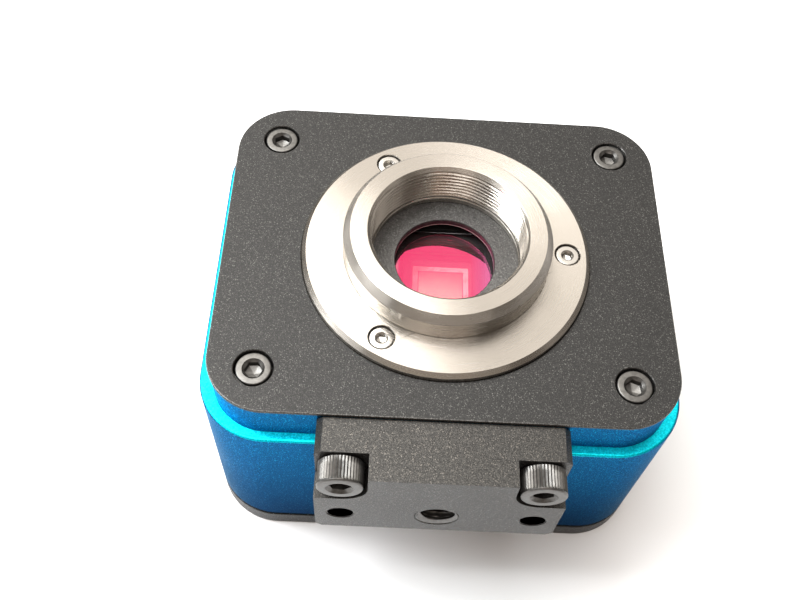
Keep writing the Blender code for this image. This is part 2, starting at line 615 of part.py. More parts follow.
def make_window():
    """The filter glass, the soft frame that it lies on and the black holder behind the plate."""
    holder = block("window_holder", HOLDER, Z_HOLDER, Z_HOLDER_TOP, camera_parts, 2 * MM, steps=3)
    pocket_half = (WINDOW_X / 2 + HOLDER_POCKET_MARGIN, WINDOW_Y / 2 + HOLDER_POCKET_MARGIN)
    light_half = (WINDOW_X / 2 - SEAL_BORDER, WINDOW_Y / 2 - SEAL_BORDER)
    cut(
        holder,
        block("holder_pocket", pocket_half, Z_POCKET, Z_HOLDER_TOP + PAST, cutters),
        block("holder_light", light_half, Z_HOLDER - PAST, Z_POCKET + PAST, cutters),
    )
    for number, spot in enumerate(at_corners(HOLDER_SCREW)):
        low, high = Z_HOLDER - PAST, Z_HOLDER_TOP + PAST
        cut(holder, small_bore(f"holder_bore_{number}", M2_RADIUS + SLIP, low, high, spot))
    surface(holder, "black_anodised")
    window_half = (WINDOW_X / 2, WINDOW_Y / 2)
    glass = block("window_glass", window_half, Z_WINDOW_BACK, Z_WINDOW, camera_parts)
    surface(glass, "window_glass", False)
    seal = block("window_seal", window_half, Z_SEAL, Z_SEAL + SEAL_THICKNESS, camera_parts)
    opening = block("seal_opening", light_half, Z_SEAL - PAST, Z_WINDOW, cutters)
    surface(cut(seal, opening), "rubber", False)
    screw = cap_screw("m2_holder", M2_HEAD_RADIUS, M2_HEAD, M2_RADIUS, HOLDER_SCREW_LENGTH, 0, SMALL_STEPS)
    places = at_corners(HOLDER_SCREW, Z_HOLDER - SEAT)
    place_copies("window_holder_screw", screw, places, "black_steel", (math.pi, 0, 0))


def make_sensor():
    """The image sensor: a ceramic package, the chip in it and its own cover glass."""
    half = (SENSOR_SIDE / 2, SENSOR_SIDE / 2)
    package = block("sensor_package", half, Z_SENSOR, Z_SENSOR_TOP, camera_parts)
    lid_half = (SENSOR_SIDE / 2 - SENSOR_RIM, SENSOR_SIDE / 2 - SENSOR_RIM)
    step_half = (lid_half[0] - SENSOR_RIM / 4, lid_half[1] - SENSOR_RIM / 4)
    die_floor = Z_DIE - DIE_THICKNESS - SEAT
    lid_floor = Z_SENSOR_TOP - SENSOR_LID - SEAT
    cut(
        package,
        block("package_lid_seat", lid_half, lid_floor, Z_SENSOR_TOP + PAST, cutters),
        block("package_well", step_half, die_floor, Z_SENSOR_TOP, cutters),
    )
    surface(package, "ceramic", False)
    die_half = (DIE_X / 2, DIE_Y / 2)
    surface(block("sensor_chip", die_half, Z_DIE - DIE_THICKNESS, Z_DIE, camera_parts), "silicon", False)
    glass_half = (lid_half[0] - SLIP, lid_half[1] - SLIP)
    lid = block("sensor_cover_glass", glass_half, Z_SENSOR_TOP - SENSOR_LID, Z_SENSOR_TOP, camera_parts)
    surface(lid, "clear_glass", False)


def make_standoffs(name, flats, radius, low, high, stud_down, spots):
    """Hexagonal brass standoffs from z low to z high, with a stud at one end and a bore at the other."""
    length = high - low
    across_corners = flats / math.cos(math.radians(30)) / 2
    post = rod(name + "_blank", across_corners, 0, length, camera_parts, steps=6)
    stud = small_bore(name + "_stud", radius, -STUD, MM / 2, (0, 0))
    bore = small_bore(name + "_bore", radius + SLIP, length - BOARD_SCREW_LENGTH, length + PAST, (0, 0))
    mesh = baked(cut(join(post, stud), bore), stud, bore)
    mesh.transform(Matrix.Translation((0, 0, length / 2)))
    base, turn = (low, None) if stud_down else (high, (math.pi, 0, 0))
    place_copies(name, mesh, [(x, y, base) for x, y in spots], "brass", turn)


def make_sensor_board():
    """The small board that carries the sensor, on four posts behind the front plate."""
    low, high = Z_SENSOR_BOARD, Z_SENSOR_BOARD_TOP
    board = block("sensor_board", SENSOR_BOARD, low, high, camera_parts, BOARD_CORNER, steps=3)
    spots = at_corners(SENSOR_POST)
    for number, spot in enumerate(spots):
        bore = small_bore(f"sensor_board_bore_{number}", M2_RADIUS + SLIP, low - PAST, high + PAST, spot)
        cut(board, bore)
    surface(board, "circuit_board")
    low, high = Z_SENSOR_BOARD_TOP + SEAT, Z_PAD - SEAT
    make_standoffs("sensor_standoff", SENSOR_POST_FLATS, M2_RADIUS, low, high, False, spots)
    head, length = BOARD_SCREW_HEAD, BOARD_SCREW_LENGTH
    screw = cap_screw("m2_board", M2_HEAD_RADIUS, head, M2_RADIUS, length, 0, SMALL_STEPS)
    places = [(x, y, Z_SENSOR_BOARD - SEAT) for x, y in spots]
    place_copies("sensor_board_screw", screw, places, "bright_steel", (math.pi, 0, 0))


# ---------------------------------------------------------------- main board and ports


def make_main_board():
    """The main board, on four posts that stand on the back cover, and the chips on it."""
    board = block("main_board", MAIN_BOARD, Z_MAIN, Z_MAIN_TOP, camera_parts, BOARD_CORNER, steps=3)
    spots = at_corners(MAIN_POST)
    for number, spot in enumerate(spots):
        low, high = Z_MAIN - PAST, Z_MAIN_TOP + PAST
        cut(board, small_bore(f"main_board_bore_{number}", M3_RADIUS + SLIP, low, high, spot))
    surface(board, "circuit_board")
    low, high = BACK_THICKNESS + SEAT, Z_MAIN - SEAT
    make_standoffs("main_standoff", MAIN_POST_FLATS, M3_RADIUS, low, high, True, spots)
    screw = cap_screw("m3_board", M3_HEAD_RADIUS, 2 * MM, M3_RADIUS, BOARD_SCREW_LENGTH, 0, SMALL_STEPS)
    places = [(x, y, Z_MAIN_TOP + SEAT) for x, y in spots]
    place_copies("main_board_screw", screw, places, "bright_steel")
    chip_half = (CONTROLLER_SIDE / 2, CONTROLLER_SIDE / 2)
    top = Z_CONTROLLER + CHIP_THICKNESS
    surface(block("controller_chip", chip_half, Z_CONTROLLER, top, camera_parts), "black_plastic", False)
    low, high = Z_HEAT_PAD, Z_HEAT_PAD + HEAT_PAD_THICKNESS
    surface(block("heat_pad", chip_half, low, high, camera_parts), "heat_pad", False)
    low = Z_MAIN_TOP + SEAT
    memory_half = (MEMORY[0] / 2, MEMORY[1] / 2)
    memory = block("memory_chip", memory_half, low, low + MEMORY[2], camera_parts, at=MEMORY_AT)
    surface(memory, "black_plastic", False)


def make_stack_connector():
    """The two halves of the connector between the boards."""
    middle = (Z_SENSOR_BOARD + Z_MAIN_TOP) / 2
    half = (STACK_CONNECTOR[0] / 2, STACK_CONNECTOR[1] / 2)
    at = (0, STACK_CONNECTOR_Y)
    low = block("stack_plug", half, Z_MAIN_TOP + SEAT, middle - SEAT / 2, camera_parts, at=at)
    high = block("stack_socket", half, middle + SEAT / 2, Z_SENSOR_BOARD - SEAT, camera_parts, at=at)
    for part in (low, high):
        surface(part, "black_plastic", False)


def make_usb_port():
    """The computer port: a metal shell with a deep pocket and the tongue that stands in it."""
    half = (USB_WIDTH / 2, USB_HEIGHT / 2)
    at = (USB_X, 0)
    shell = block("usb_port", half, PORT_SINK, Z_MAIN - SEAT, camera_parts, at=at)
    pocket_half = (half[0] - USB_WALL, half[1] - USB_WALL)
    floor = Z_MAIN - SEAT - USB_BLOCK
    cut(shell, block("usb_pocket", pocket_half, -PAST, floor, cutters, MM, at=at, steps=2))
    surface(shell, "bright_steel", False)
    tongue_half = (USB_TONGUE[0] / 2, USB_TONGUE[1] / 2)
    tongue = block("usb_tongue", tongue_half, PORT_SINK + MM / 2, floor - SEAT, camera_parts, at=at)
    surface(tongue, "blue_plastic", False)


def make_guide_port():
    """The six-way guide socket, with its notch for the plug's latch."""
    half = (GUIDE_WIDTH / 2, GUIDE_HEIGHT / 2)
    at = (GUIDE_X, 0)
    jack = block("guide_port", half, PORT_SINK, Z_MAIN - SEAT, camera_parts, at=at)
    socket_half = (GUIDE_SOCKET_X / 2, GUIDE_SOCKET_Y / 2)
    latch_half = (GUIDE_LATCH[0] / 2, GUIDE_LATCH[1] / 2 + MM / 2)
    latch_at = (GUIDE_X, -(GUIDE_SOCKET_Y + GUIDE_LATCH[1]) / 2 + MM / 2)
    floor = Z_MAIN - SEAT - GUIDE_BLOCK
    cut(
        jack,
        block("guide_socket_cut", socket_half, -PAST, floor, cutters, at=at),
        block("guide_latch_cut", latch_half, -PAST, floor - MM, cutters, at=latch_at),
    )
    surface(jack, "black_plastic", False)


def make_status_light():
    """The status lamp on the main board and the clear rod that shows it at the back."""
    led_top = Z_MAIN - SEAT
    led_bottom = led_top - LED[2]
    at = (0, LIGHT_PIPE_Y)
    led = block("status_led", (LED[0] / 2, LED[1] / 2), led_bottom, led_top, camera_parts, at=at)
    surface(led, "clear_glass", False)
    pipe = rod("light_pipe", LIGHT_PIPE_RADIUS, PORT_SINK / 2, led_bottom - SEAT, camera_parts, at, 16)
    surface(pipe, "clear_glass")


make_body_shell()
make_front_plate()
make_back_cover()
make_back_gasket()
make_c_mount_ring()
make_tripod_bracket()
make_housing_screws()
make_window()
make_sensor()
make_sensor_board()
make_main_board()
make_stack_connector()
make_usb_port()
make_guide_port()
make_status_light()
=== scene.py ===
# %% [markdown]
# # A guide camera on its back
# The camera is a blue box with a black front plate, a bright lens mount and a small tripod bracket.
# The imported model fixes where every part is. This script only gives the parts their fine shape and finish:
# it reads the places of the parts from that model and never moves them.

# %% The fixed model
import math

import bmesh
import bpy
from mathutils import Matrix, Vector


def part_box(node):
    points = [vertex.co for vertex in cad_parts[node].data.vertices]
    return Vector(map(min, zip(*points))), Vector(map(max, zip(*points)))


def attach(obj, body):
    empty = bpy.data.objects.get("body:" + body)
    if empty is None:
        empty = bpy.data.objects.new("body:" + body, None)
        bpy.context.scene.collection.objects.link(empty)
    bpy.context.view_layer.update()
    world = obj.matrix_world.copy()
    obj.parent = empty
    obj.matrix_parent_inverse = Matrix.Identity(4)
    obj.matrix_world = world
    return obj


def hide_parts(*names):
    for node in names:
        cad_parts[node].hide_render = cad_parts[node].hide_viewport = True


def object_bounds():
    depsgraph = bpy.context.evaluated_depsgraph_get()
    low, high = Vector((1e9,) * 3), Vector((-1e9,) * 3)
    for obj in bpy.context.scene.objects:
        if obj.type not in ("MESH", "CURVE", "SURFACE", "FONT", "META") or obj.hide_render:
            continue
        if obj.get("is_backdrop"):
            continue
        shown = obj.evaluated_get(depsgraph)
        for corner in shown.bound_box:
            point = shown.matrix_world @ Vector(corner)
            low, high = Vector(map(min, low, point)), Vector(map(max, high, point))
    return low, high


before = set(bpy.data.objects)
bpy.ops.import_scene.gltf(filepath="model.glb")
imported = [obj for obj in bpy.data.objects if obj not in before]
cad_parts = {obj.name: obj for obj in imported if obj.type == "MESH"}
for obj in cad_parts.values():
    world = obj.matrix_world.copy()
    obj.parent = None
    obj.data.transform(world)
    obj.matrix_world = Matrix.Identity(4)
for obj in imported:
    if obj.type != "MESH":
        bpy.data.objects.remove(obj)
cad_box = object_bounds()
MM = 0.001


def span(node):
    """The lowest and highest corner of a part, in millimetres."""
    low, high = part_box(node)
    return low / MM, high / MM


cad_size = cad_box[1] - cad_box[0]
print(len(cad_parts), "parts in a box of", [round(side / MM, 1) for side in cad_size], "mm")

# %% [markdown]
# ## Camera
# The lens looks down on the camera from the bracket's side. The view is set by the point it looks at,
# the direction and distance to it, and a slight roll, so each can be changed by itself. Lengths are in
# millimetres and angles in degrees.

# %% Camera
AIM = Vector((-7.26, -9.48, 45.0))
AZIMUTH, ELEVATION, ROLL = -2.49, 57.95, 4.93
DISTANCE = 149.43
FOCAL_LENGTH, SENSOR_WIDTH = 42.27, 36


def towards(azimuth, elevation):
    """The direction from the object to a point that is seen at that azimuth and height, in degrees."""
    side, up = math.radians(azimuth), math.radians(elevation)
    return Vector((math.sin(side) * math.cos(up), -math.cos(side) * math.cos(up), math.sin(up)))


def linked(name, data):
    """A new object with that data, in the scene."""
    made = bpy.data.objects.new(name, data)
    bpy.context.scene.collection.objects.link(made)
    return made


back = towards(AZIMUTH, ELEVATION)
eye = linked("camera", bpy.data.cameras.new("camera"))
eye.rotation_mode = "QUATERNION"
level = (-back).to_track_quat("-Z", "Y")
eye.rotation_quaternion = level @ Matrix.Rotation(math.radians(ROLL), 4, "Z").to_quaternion()
eye.location = (AIM + back * DISTANCE) * MM
eye.data.sensor_width = SENSOR_WIDTH
eye.data.lens = FOCAL_LENGTH
eye.data.clip_start = 0.005
bpy.context.scene.camera = eye
print("camera at", [round(value / MM, 1) for value in eye.location], "mm")

# %% [markdown]
# ## Shader arithmetic
# A pattern is easiest to read as a sum. `Wire` stands for one output of a node, and adding or multiplying
# wires adds the Math nodes. `Recipe` is one material: `node` makes any node, sets its settings first and
# then its inputs, which are numbers, colours or wires.


# %% Shader arithmetic
class Wire:
    """One output of a node, which takes part in sums."""

    def __init__(self, recipe, socket):
        self.recipe = recipe
        self.socket = socket

    def maths(self, operation, *terms):
        return self.recipe.node("ShaderNodeMath", {"operation": operation}, dict(enumerate(terms)))

    def __add__(self, other):
        return self.maths("ADD", self, other)

    def __radd__(self, other):
        return self.maths("ADD", other, self)

    def __sub__(self, other):
        return self.maths("SUBTRACT", self, other)

    def __mul__(self, other):
        return self.maths("MULTIPLY", self, other)

    def __rmul__(self, other):
        return self.maths("MULTIPLY", other, self)

    def __pow__(self, other):
        return self.maths("POWER", self, other)

    def __gt__(self, other):
        return self.maths("GREATER_THAN", self, other)

    def __lt__(self, other):
        return self.maths("LESS_THAN", self, other)


class Recipe:
    """The nodes of one material, which starts as a Principled shader with constant values."""

    def __init__(self, name, colour, roughness, metallic, **constants):
        self.material = bpy.data.materials.new(name)
        self.material.use_nodes = True
        self.tree = self.material.node_tree
        self.shader = self.tree.nodes["Principled BSDF"]
        self.set("Base Color", (*colour, 1.0))
        self.set("Roughness", roughness)
        self.set("Metallic", metallic)
        for socket, value in constants.items():
            self.set(socket.replace("_", " "), value)

    def set(self, socket, value):
        """Puts a value or a wire into one of the shader's inputs."""
        self.plug(self.shader.inputs[socket], value)

    def plug(self, socket, value):
        if isinstance(value, Wire):
            self.tree.links.new(value.socket, socket)
        else:
            socket.default_value = value

    def node(self, kind, settings=None, inputs=None, output=0):
        node = self.tree.nodes.new(kind)
        for name, value in (settings or {}).items():
            setattr(node, name, value)
        for name, value in (inputs or {}).items():
            self.plug(node.inputs[name], value)
        return Wire(self, node.outputs[output])

    def place(self):
        """Where on the object a point lies, in metres."""
        return self.node("ShaderNodeTexCoord", output="Object")

    def noise(self, grain, detail=2.0, where=None):
        """Soft random values, with blotches about as wide as grain, in millimetres."""
        inputs = {"Vector": where or self.place(), "Scale": 1 / (grain * MM), "Detail": detail}
        return self.node("ShaderNodeTexNoise", {}, inputs, "Fac")

    def specks(self, grain):
        """A random value for each cell of a fine crumbled pattern, with cells about as wide as grain."""
        inputs = {"Vector": self.place(), "Scale": 1 / (grain * MM)}
        colour = self.node("ShaderNodeTexVoronoi", {}, inputs, "Color")
        return self.node("ShaderNodeSeparateColor", {}, {"Color": colour}, "Red")

    def axes(self):
        """The three coordinates of a point on the object, in metres."""
        parts = self.place()
        return [self.node("ShaderNodeSeparateXYZ", {}, {"Vector": parts}, axis) for axis in "XYZ"]

    def ramp(self, value, low, high, start=0.0, end=1.0):
        """The value carried from the range low to high over to start to end, and held at its ends."""
        inputs = {"Value": value, "From Min": low, "From Max": high, "To Min": start, "To Max": end}
        return self.node("ShaderNodeMapRange", {}, inputs)

    def mix(self, factor, first, second):
        """The first colour where the factor is 0 and the second where it is 1."""
        inputs = {0: factor}
        for slot, colour in ((6, first), (7, second)):
            inputs[slot] = colour if isinstance(colour, Wire) else (*colour, 1.0)
        return self.node("ShaderNodeMix", {"data_type": "RGBA"}, inputs, 2)

    def shade(self):
        """What feeds the Base Color so far."""
        return Wire(self, self.shader.inputs["Base Color"].links[0].from_socket)

    def relief(self, height, depth):
        """Bumps as deep as depth, in millimetres, where the height goes from 0 to 1."""
        inputs = {"Height": height, "Distance": depth * MM, "Strength": 1.0}
        self.set("Normal", self.node("ShaderNodeBump", {}, inputs))


print("shader arithmetic ready")

# %% [markdown]
# ## Blasted and anodised aluminium
# The plate and the bracket are blasted with fine beads and then dyed black. Up close the metal is a field
# of tiny dents. A noise makes the dents and also paints their colour lighter and darker, as painted light
# and shade. A random value for each small cell picks the few that get painted glints. Broken edges are
# smoother than faces, so they get their own finish, which is also painted lighter as a highlight. The recess
# floor gets a lighter finish that stands in for light, and the insides of holes get their own finish.
#
# The blue body has the same skin with more shine. Its colour is painted cyan, as a painted sheen, where a
# face looks at the viewer and deep blue where it is seen at a slant, which Layer Weight tells apart. Painted
# shade darkens its walls towards the foot, and painted light lightens them higher up.


# %% Blasted and anodised aluminium
def anodised(name, colour, painted_glint, roughness, metallic, grain, dent, **constants):
    """Dyed metal with a blasted skin, with painted light and shade on its dents: painted_glint is the colour
    of the few painted glints.
    """
    recipe = Recipe(name, colour, roughness, metallic, **constants)
    dents = recipe.noise(grain, 2.0)
    cloud = recipe.noise(9.0)
    # Painted highlights: a few random cells get the glints' colour painted into the base colour
    painted_sparks = recipe.ramp(recipe.specks(grain * 0.8), 0.80, 1.0)
    # Painted light and shade: high dents are painted lighter and low dents darker
    painted_light_on_dents = recipe.ramp(dents, 0.40, 0.64)
    shade = recipe.mix(painted_light_on_dents, [value * 0.5 for value in colour], [value * 1.7 for value in colour])
    recipe.set("Base Color", recipe.mix(painted_sparks * recipe.ramp(dents, 0.42, 0.60), shade, painted_glint))
    recipe.set("Roughness", roughness + 0.1 * (cloud - 0.5) - 0.15 * painted_sparks)
    recipe.relief(dents, dent)
    return recipe


# Shade, shade of the painted glints, roughness, metallic, width and depth of the dents in millimetres
BLACKS = {
    "black_anodised": ((0.012, 0.0117, 0.0112), (0.13, 0.127, 0.12), 0.46, 0.2, 0.16, 0.06),
    # The recess floor's lighter grey is painted light, standing in for light that reaches it
    "black_anodised_recess_painted_light": ((0.065, 0.063, 0.060), (0.25, 0.245, 0.235), 0.5, 0.3, 0.15, 0.04),
    # Broken edges: smoother than faces, and their colour is painted lighter as a highlight
    "black_anodised_edge_painted_highlight": ((0.07, 0.068, 0.065), (0.12, 0.117, 0.11), 0.3, 0.7, 0.2, 0.01),
    "black_anodised_face": ((0.027, 0.0258, 0.0238), (0.15, 0.138, 0.12), 0.40, 0.5, 0.16, 0.035),
    "black_anodised_inside": ((0.012, 0.012, 0.012), (0.03, 0.03, 0.03), 0.6, 0.1, 0.2, 0.03),
}
blacks = [anodised(name, *look) for name, look in BLACKS.items()]
blacks[0].set("Specular IOR Level", 0.38)
black_skin, recess_painted_light_skin, smooth_edge_highlight_skin, bracket_skin, hole_skin = [recipe.material for recipe in blacks]

# Deep blue is the dye. The two cyans are a painted sheen, and the glints' blue is a painted highlight.
DEEP_BLUE, PAINTED_SHEEN_CYAN, PAINTED_SHEEN_PALE_CYAN = (0.006, 0.064, 0.145), (0.001, 0.72, 0.88), (0.01, 0.85, 1.0)
PAINTED_BLUE_GLINT, BLUE_SHEEN = (0.01, 0.30, 0.48), (0.25, 0.5, 0.75, 1.0)
PAINTED_SHADE_BELOW, PAINTED_LIGHT_ABOVE = 0.006, 0.040
blue = anodised("blue_anodised", DEEP_BLUE, PAINTED_BLUE_GLINT, 0.42, 0.9, 0.2, 0.025, Specular_Tint=BLUE_SHEEN)
_, _, height = blue.axes()
# Painted shade and light: the walls' colour is scaled by height alone, from 0.3 at the foot to 1.5 higher up
painted_foot_shade = blue.ramp(height, PAINTED_SHADE_BELOW, PAINTED_LIGHT_ABOVE, 0.3, 1.5)
# Painted sheen: faces that look at the viewer are painted cyan, and faces seen at a slant keep the deep blue
slant = blue.ramp(blue.node("ShaderNodeLayerWeight", {}, {"Blend": 0.5}, "Facing"), 0.08, 0.48)
shimmer = blue.ramp(blue.noise(0.25), 0.4, 0.65)
painted_cyan_sheen = blue.mix(shimmer, [value * 0.8 for value in PAINTED_SHEEN_CYAN], PAINTED_SHEEN_PALE_CYAN)
wall = blue.node("ShaderNodeVectorMath", {"operation": "SCALE"}, {0: blue.shade(), "Scale": painted_foot_shade})
blue.set("Base Color", blue.mix(slant, painted_cyan_sheen, wall))
blue_skin = blue.material
print("anodised finishes:", black_skin.name, bracket_skin.name, blue_skin.name, hole_skin.name)

# %% [markdown]
# ## Turned steel
# A lathe leaves fine rings round the axis. They are far thinner than a hair, but together they spread each
# highlight into a fan, which the shader's Anisotropic value does. A noise that hardly changes round the
# axis gives the rings themselves.


# %% Turned steel
def turned(name, colour, roughness, groove, depth, fan=0.0):
    """Bare metal with fine rings round the axis, that wide and deep in millimetres."""
    recipe = Recipe(name, colour, roughness, 1.0, Anisotropic=fan, Anisotropic_Rotation=0.25)
    x, y, z = recipe.axes()
    distance = (x * x + y * y) ** 0.5
    place = {"X": distance + 0.7 * z, "Y": x * 0.02, "Z": y * 0.02}
    rings = recipe.noise(groove, 4.0, recipe.node("ShaderNodeCombineXYZ", {}, place))
    cloud = recipe.noise(6.0)
    recipe.set("Roughness", roughness + 0.16 * (rings - 0.5) + 0.08 * (cloud - 0.5))
    recipe.relief(rings, depth)
    return recipe.material


steel = turned("turned_steel", (0.41, 0.385, 0.35), 0.25, 0.13, 0.008, 0.92)
screw_steel = turned("bright_steel", (0.44, 0.425, 0.40), 0.26, 0.2, 0.01)
print("turned finishes:", steel.name, screw_steel.name)

# %% [markdown]
# ## Black steel and the plain finishes inside
# The plate and bracket screws have a thin black oxide over the steel, smooth and a little uneven. The
# pieces inside need finishes too, because the model may be opened or cut.


# %% Black steel and the plain finishes inside
def mottled(name, colour, roughness, metallic, grain=1.5, depth=0.01, **constants):
    """A plain finish whose shade and gloss vary a little, with a faint relief."""
    recipe = Recipe(name, colour, roughness, metallic, **constants)
    cloud = recipe.noise(grain, 3.0)
    darker, lighter = [value * 0.8 for value in colour], [min(1.0, value * 1.2) for value in colour]
    recipe.set("Base Color", recipe.mix(recipe.ramp(cloud, 0.3, 0.7), darker, lighter))
    recipe.set("Roughness", roughness + 0.12 * (cloud - 0.5))
    recipe.relief(cloud, depth)
    return recipe.material


thread_skin = mottled("cut_thread", (0.12, 0.117, 0.113), 0.35, 0.9, 0.5)
black_steel = mottled("black_steel", (0.11, 0.107, 0.102), 0.38, 0.9, 0.5)
# A light grey painted as a highlight, for the strip at the bottom of the plate's light hole
painted_highlight_strip = mottled("painted_highlight_strip_grey", (0.75, 0.73, 0.70), 0.5, 0.2)
brass = mottled("brass", (0.72, 0.50, 0.22), 0.3, 1.0)
rubber = mottled("rubber", (0.02, 0.02, 0.02), 0.85, 0.0, 0.4, 0.02)
ceramic = mottled("ceramic", (0.03, 0.02, 0.022), 0.5, 0.0, 0.4)
black_plastic = mottled("black_plastic", (0.025, 0.025, 0.025), 0.5, 0.0, 0.5)
blue_plastic = mottled("blue_plastic", (0.02, 0.10, 0.50), 0.45, 0.0, 0.5)
heat_pad = mottled("heat_pad", (0.42, 0.47, 0.52), 0.9, 0.0, 0.6, 0.03)
gold = mottled("gold_contacts", (0.95, 0.66, 0.28), 0.22, 1.0)
clear = mottled("clear_glass", (0.85, 0.9, 0.92), 0.08, 0.0, Alpha=0.06)
print("plain finishes ready")

# %% [markdown]
# ## Circuit boards
# Copper tracks run under the green lacquer and lift it slightly. Narrow lanes along both sides of the
# board, each broken up by a stretched noise, look like tracks that turn now and then.

# %% Circuit boards
TRACK_GAP, TRACK_HALF = 0.35 * MM, 0.12 * MM


def circuit(name):
    """Green lacquer over copper tracks."""
    recipe = Recipe(name, (0.01, 0.09, 0.045), 0.4, 0.0, Coat_Weight=0.3)
    x, y, _ = recipe.axes()
    tracks = None
    for across, along in ((x, y), (y, x)):
        lane = across.maths("PINGPONG", across, TRACK_GAP)
        place = {"X": across * 9, "Y": along}
        run = recipe.noise(9.0, 1.0, recipe.node("ShaderNodeCombineXYZ", {}, place))
        here = (lane < TRACK_HALF) * (run > 0.52)
        tracks = here if tracks is None else tracks.maths("MAXIMUM", tracks, here)
    recipe.set("Base Color", recipe.mix(tracks, (0.008, 0.07, 0.035), (0.02, 0.17, 0.08)))
    recipe.relief(tracks, 0.03)
    return recipe.material


board_skin = circuit("circuit_board")
print("board finish ready")

# %% [markdown]
# ## Loops, walls and flat faces
# Nearly every part here is a plate or a turned shape with holes. All of them are made the same way: loops
# of edges are laid one over the other and bridged into walls, and each flat face is filled between the
# loops that bound it. The parts are modelled in millimetres and scaled to metres at the end. FIT is the
# gap between parts that touch, and BROKEN is how far the edge of a hole is taken back.

# %% Loops, walls and flat faces
SHARPEST = 0.02
FIT, BROKEN = 0.2, 0.12


def circle(bm, radius, z, at=(0, 0), steps=64, turn=0.0):
    """A loop of edges round a circle, or with few steps round a polygon."""
    place = Matrix.Translation((at[0], at[1], z)) @ Matrix.Rotation(turn, 4, "Z")
    made = bmesh.ops.create_circle(bm, cap_ends=False, segments=steps, radius=radius, matrix=place)
    return list({edge for vert in made["verts"] for edge in vert.link_edges})


def rounded(bm, half, corner, z, at=(0, 0), steps=20):
    """A loop of edges round a rectangle with round corners."""
    square = {"segments": 4, "radius": math.sqrt(2), "matrix": Matrix.Rotation(math.radians(45), 4, "Z")}
    made = bmesh.ops.create_circle(bm, cap_ends=True, **square)
    bmesh.ops.scale(bm, vec=(half[0], half[1], 1), verts=made["verts"])
    bmesh.ops.translate(bm, vec=(at[0], at[1], z), verts=made["verts"])
    face = made["verts"][0].link_faces[0]
    bmesh.ops.bevel(
        bm, geom=face.verts, offset=corner, segments=steps, profile=0.5, affect="VERTICES", material=-1
    )
    loop = [edge for edge in bm.edges if edge.is_boundary and len(edge.link_faces[0].verts) > 4 * steps]
    bmesh.ops.delete(bm, geom=[loop[0].link_faces[0]], context="FACES_ONLY")
    return loop


def bridge(bm, loops):
    """Walls between each loop and the next. Returns the first and the last loop."""
    for near, far in zip(loops, loops[1:]):
        bmesh.ops.bridge_loops(bm, edges=near + far)
    return loops[0], loops[-1]


def bore(bm, points, at=(0, 0), steps=64):
    """A turned wall through points of (radius, z)."""
    return bridge(bm, [circle(bm, radius, z, at, steps) for radius, z in points])


def fence(bm, points, at=(0, 0), steps=20):
    """A wall round rounded rectangles, through points of (half size, corner radius, z)."""
    first = loop = rounded(bm, *points[0], at, steps)
    for (half, corner, _), (new_half, new_corner, new_z) in zip(points, points[1:]):
        grown = bmesh.ops.extrude_edge_only(bm, edges=loop)["geom"]
        loop = [part for part in grown if isinstance(part, bmesh.types.BMEdge) and part.is_boundary]
        for vert in {vert for edge in loop for vert in edge.verts}:
            for axis in (0, 1):
                offset = vert.co[axis] - at[axis]
                turn = (abs(offset) - half[axis] + corner) / corner
                reach = new_half[axis] - new_corner + new_corner * turn
                vert.co[axis] = at[axis] + math.copysign(reach, offset)
            vert.co.z = new_z
    return first, loop


def shrunk(half, corner, inset, z):
    """One point of a fence, with the rectangle drawn in by inset on every side."""
    return (half[0] - inset, half[1] - inset), max(corner - inset, SHARPEST), z


def middle_of(low, high):
    return ((low.x + high.x) / 2, (low.y + high.y) / 2)


def half_of(low, high, wider=0.0):
    """Half of the size between two corners, seen along Z."""
    return ((high.x - low.x) / 2 + wider, (high.y - low.y) / 2 + wider)


def fill(bm, *loops):
    """A flat face between the loops."""
    edges = [edge for loop in loops for edge in loop]
    bmesh.ops.triangle_fill(bm, use_beauty=True, use_dissolve=False, edges=edges)


def close(bm, loops):
    """A flat face across each of the loops."""
    for loop in loops:
        fill(bm, loop)


def easing(radius, steps=3):
    """Points (back, down) round an outer edge of that radius, from its flat face to its wall."""
    angles = [math.radians(90) * step / steps for step in range(steps + 1)]
    return [(radius * (1 - math.sin(angle)), radius * (1 - math.cos(angle))) for angle in angles]


def object_from(bm, name):
    """A new object with the bmesh as its mesh."""
    mesh = bpy.data.meshes.new(name)
    bm.to_mesh(mesh)
    bm.free()
    return linked(name, mesh)


def add_piece(bm, name, finishes, *nodes, matrix=None, smooth=True):
    """Turns a closed bmesh into a piece in metres that stands for those parts of the model."""
    bmesh.ops.remove_doubles(bm, verts=bm.verts, dist=0.0005)
    bmesh.ops.recalc_face_normals(bm, faces=bm.faces)
    if matrix is not None:
        bmesh.ops.transform(bm, matrix=matrix, verts=bm.verts)
    bmesh.ops.scale(bm, vec=(MM, MM, MM), verts=bm.verts)
    open_edges = sum(1 for edge in bm.edges if not edge.is_manifold)
    piece = object_from(bm, name)
    mesh = piece.data
    for material in finishes if isinstance(finishes, (list, tuple)) else [finishes]:
        mesh.materials.append(material)
    if smooth:
        mesh.shade_smooth()
        mesh.set_sharp_from_angle(angle=math.radians(32))
        even = piece.modifiers.new("even_normals", "WEIGHTED_NORMAL")
        even.keep_sharp = True
    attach(piece, "root")
    if nodes:
        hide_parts(*nodes)
    print(f"{name}: {len(mesh.polygons)} faces, {open_edges} open edges")
    return piece


# %% [markdown]
# ## Front plate
# The plate is 73 by 60 mm with a fine rounded edge. A round recess takes the lens mount, and a smaller
# hole in the recess lets the light in. Four counterbores hide the screw heads. Its underside has a plug
# that drops into the body and a thicker round middle. The light hole is dark inside, but a thin strip at its
# bottom edge is painted light grey as a highlight, where the edge catches the light.

